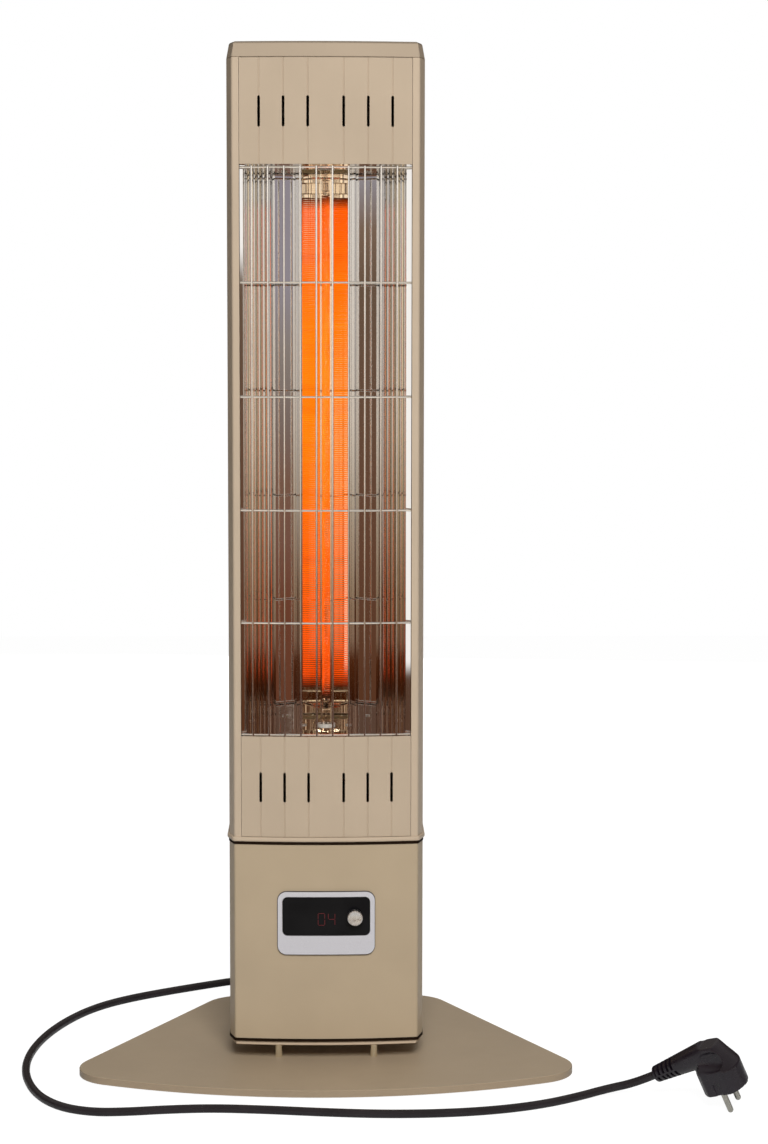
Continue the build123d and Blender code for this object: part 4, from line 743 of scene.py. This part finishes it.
def make_plug_head():
    """Moulded head and the smooth root of its neck, blended, with a finger hollow in each side."""
    sections = [plug_ring(step / 40) for step in range(41)]
    points = [point for section in sections for point in section]
    faces = ring_faces(len(sections), len(sections[0]))
    first = len(points)
    smooth_length, spokes = PLUG_NECK_LENGTH - 23.5 * MM, 48
    root = [(reach, neck_radius(reach)) for reach in (0.0, smooth_length)]
    points += turned_points(root, plug_tip - neck_way * PLUG_NECK_LENGTH, neck_way, pin_line, spokes)
    faces += [tuple(first + index for index in face) for face in ring_faces(len(root), spokes)]
    head = new_piece("plug_head", mesh_from("plug_head", points, faces, 40.0))
    cutters = []
    for side in (-1, 1):
        slope = (plug_up * 20.0 - pin_line * side * 7.2).normalized()  # the head narrows upwards
        cutters.append(make_cutter("finger_hollow", plug_point(side * 14.8 * MM, -1.5 * MM, 30.0 * MM),
                                   cord_way, slope, (15.5 * MM, 6.4 * MM, 9.0 * MM)))
        cutters.append(make_cutter("guide_groove", plug_point(side * 16.6 * MM, 0.0, 4.0 * MM),
                                   cord_way, plug_up, (2.6 * MM, 1.7 * MM, 7.0 * MM), block=True))

    def remesh(size, rounds):
        modify(head, "REMESH", mode="VOXEL", voxel_size=size)
        modify(head, "SMOOTH", factor=0.5, iterations=rounds)

    remesh(0.6 * MM, 6)
    for cutter in cutters:
        modify(head, "BOOLEAN", operation="DIFFERENCE", object=cutter, solver="EXACT")
    remesh(0.45 * MM, 3)
    applied(head)
    for cutter in cutters:
        bpy.data.objects.remove(cutter)
    smooth(head.data, 60.0)
    return head


def make_plug_neck():
    """Bend protector: short slots round the neck in two staggered rows, with a spine between them."""
    length, slot, depth, spine = PLUG_NECK_LENGTH, 2.0 * MM, 2.0 * MM, 0.16
    ribs_start = length - PLUG_RIB_COUNT * PLUG_RIB_PITCH - 1.0 * MM
    step_length = 0.25 * MM
    steps = int((length - ribs_start) / step_length)

    def slotted(turn, reach):
        if abs(sin(turn)) < spine or reach >= length - 2.0 * MM:
            return 0.0
        phase = (reach - ribs_start - (0.4 * MM if sin(turn) > 0.0 else 2.4 * MM)) % PLUG_RIB_PITCH
        return -depth if phase < slot else 0.0

    profile = [(ribs_start - 3.0 * MM, neck_radius(ribs_start) - 1.0 * MM)]
    profile += [(reach, neck_radius(reach)) for reach in
                (ribs_start + step_length * step for step in range(steps))]
    profile += [(length - 0.3 * MM, PLUG_NECK_TIP - 0.2 * MM), (length, PLUG_NECK_TIP - 1.0 * MM)]
    return turned("plug_neck", profile, plug_tip - neck_way * length, neck_way, pin_line, 72, 35.0, slotted)


plug_head = seat(make_plug_head(), "plug_black", replaces=["plug_body"])
plug_neck = seat(make_plug_neck(), "plug_black")


def make_strain_relief():
    """Tapered strain relief with a flange against the box and grooves round its tail."""
    low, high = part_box("strain_relief")
    start = Vector((0.0, low.y, (low.z + high.z) / 2))
    neck_end, flange_end, grooves = 6.0 * MM, 9.0 * MM, 6
    root, tip = 8.0 * MM, 5.2 * MM
    length = high.y - low.y
    profile = [(0.0, 6.9 * MM), (neck_end - 0.05 * MM, 6.9 * MM), (neck_end, 10.6 * MM),
               (neck_end + 0.5 * MM, 11.0 * MM), (flange_end - 0.6 * MM, 11.0 * MM),
               (flange_end, 10.4 * MM), (flange_end, root)]
    pitch = (length - flange_end) / grooves
    for step in range(grooves):
        at = flange_end + pitch * step
        outer = root + (tip - root) * (step + 0.5) / grooves
        profile += [(at + 0.25 * pitch, outer), (at + 0.62 * pitch, outer - 0.15 * MM),
                    (at + 0.68 * pitch, outer - 1.0 * MM), (at + 0.94 * pitch, outer - 1.05 * MM)]
    profile += [(length - 0.3 * MM, tip), (length, tip - 0.4 * MM)]
    return turned("strain_relief_moulding", profile, start, (0, 1, 0), (1, 0, 0), 40, 35.0)


strain_relief = seat(make_strain_relief(), "cord_black", replaces=["strain_relief"])

# ---------------------------------------------------------------- painted shell

for node, width, coat, fold in (
        ("column_casing", 0.25, "column_coat", 30.0), ("upper_panel", 0.25, "panel_coat", 1.2),
        ("lower_panel", 0.25, "panel_coat", 1.2), ("column_flange", 0.5, "column_coat", 30.0),
        ("top_cap", 0.35, "cap_coat", 30.0), ("control_box", 0.3, "box_coat", 30.0),
        ("bottom_cover", 0.3, "cover_coat", 30.0)):
    eased(node, width * MM, coat, fold)
# The upright edge faces of the base get painted shade, a darker tone, and the rounded rim of the bezel gets
# a painted shadow, near black, for the gap round it
LEVEL_FACE = 0.8
FRONT_FACE = 0.98
repaint(eased("base_plate", 0.3 * MM, "base_coat"), "base_edge",
        lambda face: abs(face.normal.z) < LEVEL_FACE)
repaint(eased("bezel", 0.2 * MM, "bezel_silver"), "bezel_edge",
        lambda face: -face.normal.y < FRONT_FACE)


# ---------------------------------------------------------------- guard

def guard_tree():
    """Upright rods on bowed cross wires. The rods stand on the curve of the wires."""
    tree = Tree("guard", Rod_radius=GUARD_ROD_RADIUS, Wire_radius=GUARD_WIRE_RADIUS,
                Rod_pitch=GUARD_ROD_PITCH, Rod_count=GUARD_ROD_COUNT, Wire_count=GUARD_WIRE_COUNT,
                Low_wire=0.29, High_wire=0.77, Bow_radius=0.5, Bow_middle=0.45, Half_width=0.07,
                Rod_forward=2.0 * MM, Overrun=GUARD_ROD_OVERRUN, Finish=None)
    given = tree.given
    maths = tree.maths
    place = tree.axes(tree.node("GeometryNodeInputPosition").outputs["Position"])
    square = maths("SUBTRACT", maths("POWER", given["Bow_radius"], 2.0),
                   maths("POWER", maths("ABSOLUTE", place["X"]), 2.0))
    bow_y = maths("SUBTRACT", given["Bow_middle"], maths("SQRT", square))
    # Upright rods: points across the front, pushed out to the bow, each with a straight line on it
    first_rod = maths("MULTIPLY", given["Rod_pitch"],
                      maths("MULTIPLY", maths("SUBTRACT", given["Rod_count"], 1.0), -0.5))
    feet = tree.row(given["Rod_count"], tree.vector(x=first_rod), tree.vector(x=given["Rod_pitch"]))
    feet = tree.moved(feet, tree.vector(place["X"], maths("SUBTRACT", bow_y, given["Rod_forward"])))
    upright = tree.node("GeometryNodeCurvePrimitiveLine", {
        "Start": tree.vector(z=maths("SUBTRACT", given["Low_wire"], given["Overrun"])),
        "End": tree.vector(z=maths("ADD", given["High_wire"], given["Overrun"]))}).outputs["Curve"]
    rods = tree.swept(tree.repeated(feet, upright), given["Rod_radius"], 14)
    # Cross wires: one bowed arc, repeated up the guard
    steps = 48
    across = tree.row(steps + 1, tree.vector(x=maths("MULTIPLY", given["Half_width"], -1.0)),
                      tree.vector(x=maths("DIVIDE", maths("MULTIPLY", given["Half_width"], 2.0), steps)))
    bowed = tree.moved(across, tree.vector(place["X"], bow_y))
    arc = tree.node("GeometryNodeMeshToCurve", {"Mesh": bowed}).outputs["Curve"]
    levels = tree.row(given["Wire_count"], tree.vector(z=given["Low_wire"]),
                      tree.vector(z=given["High_wire"]), "END_POINTS")
    wires = tree.swept(tree.repeated(levels, arc), given["Wire_radius"], 14)
    both = tree.node("GeometryNodeJoinGeometry")
    for part in (rods, wires):
        tree.feed(both.inputs["Geometry"], part)
    return tree.finish(both.outputs["Geometry"], given["Finish"])


def make_guard():
    low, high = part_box("front_guard")
    guard = grown("front_guard_wires", guard_tree(),
                  Low_wire=low.z + GUARD_ROD_OVERRUN, High_wire=high.z - GUARD_ROD_OVERRUN,
                  Bow_radius=FRONT_RADIUS - CASING_WALL - GUARD_HOLE_CLEARANCE - GUARD_WIRE_RADIUS,
                  Bow_middle=FRONT_RADIUS - COLUMN_FRONT, Half_width=GUARD_END_HALF_WIDTH,
                  Rod_forward=GUARD_WIRE_RADIUS + GUARD_ROD_RADIUS + GUARD_WELD_GAP,
                  Finish=FINISHES["guard_chrome"])
    # It sits a little to one side in its holes
    guard.data.transform(Matrix.Translation((GUARD_SHIFT, 0.0, 0.0)))
    smooth(guard.data, 40.0)
    return seat(guard, "guard_chrome", replaces=["front_guard"])


make_guard()


# ---------------------------------------------------------------- reflector

def reflector_half_profile():
    """Bright face from the middle to the front rim, as (x, y) points."""
    points = []
    trough_steps = 14
    for step in range(trough_steps + 1):
        x = TROUGH_HALF_WIDTH * step / trough_steps
        points.append((x, REFLECTOR_BACK - x * x / (4 * TROUGH_FOCUS)))
    points.append((RIDGE_HALF_WIDTH, REFLECTOR_BACK))
    facet_end = Vector((FACET_HALF_WIDTH, REFLECTOR_BACK - FACET_DEPTH))
    flute_end = Vector((FLUTE_END_HALF_WIDTH, REFLECTOR_BACK - FLUTE_END_DEPTH))
    points.append(tuple(facet_end))
    chord = flute_end - facet_end
    outward = Vector((-chord.y, chord.x)).normalized()
    steps_per_flute = 10
    for flute in range(FLUTE_COUNT):
        for step in range(1, steps_per_flute + 1):
            share = (flute + step / steps_per_flute) / FLUTE_COUNT
            bulge = 4 * FLUTE_BULGE * share * (1 - share)
            local = step / steps_per_flute
            ripple = 4 * FLUTE_RIPPLE * local * (1 - local)
            place = facet_end + chord * share + outward * (bulge + ripple)
            points.append((place.x, place.y))
    # The rim ends in a narrow lip that faces the front
    points.append((LIP_HALF_WIDTH, REFLECTOR_BACK - LIP_DEPTH))
    points.append((RIM_HALF_WIDTH, REFLECTOR_BACK - RIM_DEPTH))
    return points


def unevenness(x, z):
    """Slight rise and fall of the rolled sheet, as two crossed waves."""
    height, long_wave, short_wave = 0.006 * MM, 0.31, 0.19
    return height * sin(2 * pi * (z / long_wave + 13.0 * x)) * sin(2 * pi * (z / short_wave - 17.0 * x))


def make_reflector():
    """Rolled bright sheet, very slightly uneven along its length."""
    low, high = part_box("reflector")
    half = reflector_half_profile()
    face = [(-x, y) for x, y in reversed(half[1:])] + half
    count, rows = len(face), 80
    normals = []
    for index in range(count):
        run = Vector(face[min(count - 1, index + 1)]) - Vector(face[max(0, index - 1)])
        normals.append(Vector((-run.y, run.x)).normalized())
    points = []
    for row in range(rows + 1):
        z = low.z + (high.z - low.z) * row / rows
        front, back = [], []
        for (x, y), normal in zip(face, normals):
            lift = unevenness(x, z)
            front.append((x + normal.x * lift, y + normal.y * lift, z))
            back.append((x + normal.x * REFLECTOR_SHEET, y + normal.y * REFLECTOR_SHEET, z))
        points += front + back[::-1]
    ring = 2 * count
    faces = ring_faces(rows + 1, ring, "open")
    for end in (0, rows * ring):
        for index in range(count - 1):
            faces.append((end + index, end + index + 1, end + ring - 2 - index, end + ring - 1 - index))
    sheet = new_piece("reflector_sheet", mesh_from("reflector_sheet", points, faces, 14.0))
    seat(sheet, "reflector_mirror", replaces=["reflector"])
    # The trough's warm tint is a painted glow of the lamp, and the fluted sides' darker colour, brownish
    # low down, is a painted reflection
    repaint(sheet, "trough_mirror", lambda face: abs(face.center.x) < TROUGH_HALF_WIDTH)
    repaint(sheet, "flute_mirror", lambda face: FACET_HALF_WIDTH < abs(face.center.x) < LIP_HALF_WIDTH)


make_reflector()


# ---------------------------------------------------------------- lamp

def coil_tree():
    """Wound wire: a straight helix swept with a round section."""
    tree = Tree("coil", Turns=250.0, Radius=COIL_RADIUS, Height=0.43, Wire_radius=COIL_WIRE_RADIUS,
                Foot=(0.0, 0.0, 0.0), Finish=None)
    given = tree.given
    helix = tree.node("GeometryNodeCurveSpiral", {
        "Resolution": 18, "Rotations": given["Turns"], "Start Radius": given["Radius"],
        "End Radius": given["Radius"], "Height": given["Height"]}).outputs["Curve"]
    placed = tree.node("GeometryNodeTransform", {
        "Geometry": tree.swept(helix, given["Wire_radius"], 6), "Translation": given["Foot"]})
    return tree.finish(placed.outputs["Geometry"], given["Finish"])


def make_coil():
    low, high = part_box("heating_coil")
    height = high.z - low.z
    coil = grown("heating_coil_winding", coil_tree(), Turns=height / COIL_PITCH,
                 Radius=COIL_RADIUS - COIL_WIRE_RADIUS, Height=height, Foot=(0.0, LAMP_Y, low.z),
                 Finish=FINISHES["hot_coil"])
    return seat(coil, "hot_coil", replaces=["heating_coil"])


def make_lamp_tube():
    """Quartz tube with a real wall."""
    low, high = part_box("lamp_tube")
    length = high.z - low.z
    edge = 0.2 * MM
    profile = [(0.0, TUBE_BORE_RADIUS), (0.0, TUBE_RADIUS - edge), (edge, TUBE_RADIUS),
               (length - edge, TUBE_RADIUS), (length, TUBE_RADIUS - edge), (length, TUBE_BORE_RADIUS)]
    tube = turned("lamp_tube_quartz", profile, (0.0, LAMP_Y, low.z), (0, 0, 1), (1, 0, 0), 40, 35.0,
                  ends="joined")
    return seat(tube, "quartz", replaces=["lamp_tube"])


make_coil()
make_lamp_tube()


# ---------------------------------------------------------------- knob and display

def make_knob():
    """Turned knob with a straight knurl round its side and a polished front edge."""
    low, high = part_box("knob")
    centre = Vector(((low.x + high.x) / 2, high.y, (low.z + high.z) / 2))
    radius = (high.x - low.x) / 2
    length = high.y - low.y
    teeth, tooth_depth = 36, 0.32 * MM

    def knurl(turn, reach):
        inside = 0.9 * MM < reach < length - 1.6 * MM
        return -tooth_depth * (0.5 - 0.5 * cos(turn * teeth)) if inside else 0.0

    profile = [(0.0, radius - 0.7 * MM), (0.5 * MM, radius - 0.15 * MM), (0.85 * MM, radius - 0.15 * MM),
               (0.95 * MM, radius), (length - 1.65 * MM, radius), (length - 1.55 * MM, radius - 0.12 * MM),
               (length - 0.7 * MM, radius - 0.12 * MM), (length - 0.2 * MM, radius - 0.45 * MM),
               (length, radius - 0.95 * MM), (length - 0.15 * MM, radius - 1.5 * MM),
               (length - 0.2 * MM, 0.4 * MM)]
    knob = turned("knob_turned", profile, centre, (0, -1, 0), (1, 0, 0), teeth * 6, 50.0, knurl)
    return seat(knob, "knob_silver", "knob", ["knob"])


make_knob()

SEGMENTS = {"0": "abcdef", "4": "fgbc"}


def front_y(x, proud=0.0):
    """Y of the window's convex front at x, standing proud by a little."""
    radius = FRONT_RADIUS + WINDOW_PROUD + proud
    return FRONT_RADIUS - COLUMN_FRONT - sqrt(radius * radius - x * x)


def make_digits(text):
    """Seven-segment numerals: thin bars just proud of the window."""
    low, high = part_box("display_window")
    middle_z = (low.z + high.z) / 2 - DIGITS_DROP
    half = DIGIT_HEIGHT / 2
    width, bar, gap = 0.55 * DIGIT_HEIGHT, 0.13 * DIGIT_HEIGHT, 0.04 * DIGIT_HEIGHT
    pitch = width + 0.3 * DIGIT_HEIGHT
    bars = {
        "a": (0, 1, width, bar), "d": (0, -1, width, bar), "g": (0, 0, width, bar),
        "b": (1, 0.5, bar, half), "c": (1, -0.5, bar, half),
        "f": (-1, 0.5, bar, half), "e": (-1, -0.5, bar, half),
    }
    points, faces = [], []
    for place, digit in enumerate(text):
        for key in SEGMENTS[digit]:
            side, level, size_x, size_z = bars[key]
            x = DIGITS_LEFT + place * pitch + (1 + side) * width / 2
            z = middle_z + level * half
            half_x, half_z = size_x / 2 - gap, size_z / 2 - gap
            first = len(points)
            for proud in (-0.03 * MM, 0.04 * MM):
                for dx, dz in ((-half_x, -half_z), (half_x, -half_z), (half_x, half_z), (-half_x, half_z)):
                    points.append((x + dx, front_y(x + dx, proud), z + dz))
            faces += [tuple(first + index for index in quad) for quad in ring_faces(2, 4)]
    numerals = new_piece("display_numerals", mesh_from("display_numerals", points, faces))
    return seat(numerals, "digit_red")


make_digits("04")


# ---------------------------------------------------------------- room, lights and camera

def make_floor():
    """Paper that the camera sees mostly as plain light, so that it is white and still takes shadows."""
    half, front = 3.0, -0.5
    plain_share, plain_light, paper = 0.75, 1.26, (0.8, 0.8, 0.8)
    mesh = bpy.data.meshes.new("floor")
    mesh.from_pydata([(-half, front, 0), (half, front, 0), (half, half, 0), (-half, half, 0)], [],
                     [(0, 1, 2, 3)])
    material = bpy.data.materials.new("floor_paper")
    material.use_nodes = True
    tree = Nodes(material.node_tree, cleared=True)
    seen = tree.node("ShaderNodeLightPath").outputs["Is Camera Ray"]
    mix = tree.node("ShaderNodeMixShader", {
        "Fac": tree.maths("MULTIPLY", seen, plain_share),
        1: tree.node("ShaderNodeBsdfDiffuse", {"Color": paper}).outputs["BSDF"],
        2: tree.node("ShaderNodeEmission", {"Strength": plain_light}).outputs["Emission"]})
    tree.node("ShaderNodeOutputMaterial", {"Surface": mix.outputs["Shader"]})
    floor = new_piece("floor", mesh)
    mesh.materials.append(material)


make_floor()


def make_room():
    """World light: white to the camera, soft and even on the object, and a studio in the mirrors."""
    world = bpy.data.worlds.new("room")
    bpy.context.scene.world = world
    world.use_nodes = True
    tree = Nodes(world.node_tree, cleared=True)
    maths, ramp, blend = tree.maths, tree.ramp, tree.blend

    def step(source, start, end):
        return tree.spread(source, 0.0, 1.0, start, end, "SMOOTHSTEP")

    # Bearing and rise are in degrees. Straight out of the heater's front is 0, +X is positive
    way = tree.axes(tree.node("ShaderNodeTexCoord").outputs["Generated"])
    bearing = maths("MULTIPLY", maths("ARCTAN2", way["X"], maths("MULTIPLY", way["Y"], -1.0)), 180.0 / pi)
    rise = maths("MULTIPLY", maths("ARCSINE", way["Z"]), 180.0 / pi)
    aside = maths("ABSOLUTE", bearing)
    share = maths("ADD", maths("MULTIPLY", rise, 1 / 15.0), 0.6)

    def streaks(scale, detail, start, end):
        """Upright streaks: 0 up to the start of the noise's values and 1 from the end."""
        noise = tree.node("ShaderNodeTexNoise", {"Scale": scale, "Detail": detail, "W": bearing},
                          noise_dimensions="1D")
        return step(noise.outputs["Fac"], start, end)

    def zone(start, end, soft=0.4):
        return maths("MULTIPLY", step(bearing, start - soft, start + soft),
                     step(bearing, end + soft, end - soft))

    # Wall colours from 9 degrees below the level to 6 above it
    grey_wall = ramp(
        share, (0.0, (0.13, 0.045, 0.022)), (0.187, (0.155, 0.053, 0.029)), (0.273, (0.18, 0.085, 0.059)),
        (0.36, (0.19, 0.10, 0.068)), (0.447, (0.20, 0.148, 0.127)), (0.553, (0.257, 0.217, 0.193)),
        (0.64, (0.29, 0.26, 0.29)), (0.87, (0.29, 0.26, 0.29)), (1.0, (0.35, 0.35, 0.37)))
    brown_wall = ramp(
        share, (0.0, (0.10, 0.035, 0.015)), (0.3, (0.13, 0.06, 0.035)), (0.64, (0.14, 0.088, 0.058)),
        (0.727, (0.20, 0.13, 0.09)), (0.8, (0.29, 0.27, 0.29)), (1.0, (0.34, 0.33, 0.35)))
    light_box = ramp(
        share, (0.04, (0.05, 0.012, 0.003)), (0.10, (0.13, 0.04, 0.01)), (0.13, (0.40, 0.31, 0.23)),
        (0.187, (0.48, 0.39, 0.27)), (0.33, (0.80, 0.68, 0.53)), (0.447, (1.15, 1.03, 0.88)),
        (0.8, (1.32, 1.24, 1.12)))
    warm_wall = ramp(
        share, (0.0, (0.12, 0.05, 0.025)), (0.20, (0.15, 0.07, 0.04)), (0.32, (0.66, 0.58, 0.51)),
        (0.60, (1.0, 0.95, 0.90)))
    far_light = ramp(
        share, (0.0, (0.15, 0.055, 0.027)), (0.25, (0.32, 0.17, 0.10)), (0.45, (0.70, 0.56, 0.47)),
        (0.64, (0.92, 0.86, 0.81)), (1.0, (0.98, 0.94, 0.91)))
    side_box = blend(step(rise, -7.9, -7.5), (0.10, 0.05, 0.03), (1.0, 0.97, 0.93))
    grain = blend(streaks(0.8, 2.0, 0.3, 0.7), (0.80, 0.77, 0.75), (1.0, 1.0, 1.0))
    dark = (0.07, 0.042, 0.028)
    paper = blend(step(aside, 32.0, 42.0), (1.0, 0.90, 0.74), (0.12, 0.075, 0.045))
    upper_wall = blend(streaks(0.33, 1.5, 0.50, 0.60), (0.11, 0.06, 0.04), (0.6, 0.5, 0.42))
    room = blend(streaks(0.33, 1.5, 0.42, 0.54), dark, far_light)
    # What stands where round the heater, from its left to its right
    for place, wall in (
            (zone(-44.0, -35.9), side_box),
            (zone(-35.9, -34.0, 0.15), brown_wall),
            (zone(-34.0, -0.5, 0.2), blend(streaks(0.45, 0.5, 0.30, 0.36), dark, light_box)),
            (zone(-0.5, 9.0), blend(1.0, warm_wall, grain, "MULTIPLY")),
            (zone(9.0, 34.0, 0.2), blend(streaks(0.4, 0.5, 0.34, 0.40), dark, light_box)),
            (zone(34.0, 35.9, 0.15), grey_wall),
            (zone(35.9, 44.0, 0.2), blend(step(rise, 0.6, 1.6), brown_wall, side_box)),
            (step(rise, 6.0, 7.0), upper_wall),
            # Dim behind the heater, a soft ceiling, and pale paper low down in front
            (step(aside, 74.0, 92.0), (0.06, 0.044, 0.032)),
            (step(rise, 16.0, 40.0), (0.50, 0.47, 0.43)),
            (step(rise, -11.0, -13.0), paper)):
        room = blend(place, room, wall)

    def light(colour, strength=1.0):
        return tree.node("ShaderNodeBackground", {
            "Color": colour, "Strength": strength}).outputs["Background"]

    def either(share, first, second):
        return tree.node("ShaderNodeMixShader", {"Fac": share, 1: first, 2: second}).outputs["Shader"]

    path = tree.node("ShaderNodeLightPath").outputs
    in_mirrors = maths("MAXIMUM", path["Is Glossy Ray"], path["Is Transmission Ray"])
    lit = either(in_mirrors, light((1.0, 0.985, 0.96), 0.14), light(room))
    tree.node("ShaderNodeOutputWorld", {
        "Surface": either(path["Is Camera Ray"], lit, light((1.0, 1.0, 1.0)))})


make_room()


def add_lamp(name, place, aim, size, power):
    """Large soft lamp aimed at a point, left out of mirrors, where the room stands for it."""
    light = with_settings(bpy.data.lights.new(name, "AREA"), shape="SQUARE", size=size, energy=power)
    lamp = with_settings(new_piece(name, light), location=place, visible_glossy=False)
    lamp.rotation_euler = (Vector(aim) - Vector(place)).to_track_quat("-Z", "Y").to_euler()


add_lamp("key", (0.25, -2.66, 2.0), (0.0, 0.0, 0.5), 1.1, 98.0)
add_lamp("back_fill", (0.3, 2.6, 0.6), (0.0, 0.0, 0.45), 1.4, 22.0)

CAMERA_PLACE = (0.0, -2.2666, 0.644)
CAMERA_PITCH = radians(5.57)
CAMERA_YAW = radians(1.274)
CAMERA_ROLL = radians(0.084)
FOCAL_PIXELS = 2620.0
FRAME_LONG_SIDE = 1144.0


def add_camera():
    data = bpy.data.cameras.new("camera")
    data.sensor_width = 36.0
    data.lens = FOCAL_PIXELS / FRAME_LONG_SIDE * data.sensor_width
    camera = new_piece("camera", data)
    turn = Matrix.Rotation(-CAMERA_YAW, 4, "Z") @ Matrix.Rotation(pi / 2 - CAMERA_PITCH, 4, "X")
    turn = turn @ Matrix.Rotation(CAMERA_ROLL, 4, "Z")
    camera.matrix_world = Matrix.Translation(CAMERA_PLACE) @ turn
    bpy.context.scene.camera = camera


add_camera()
bpy.context.scene.view_settings.view_transform = "Standard"
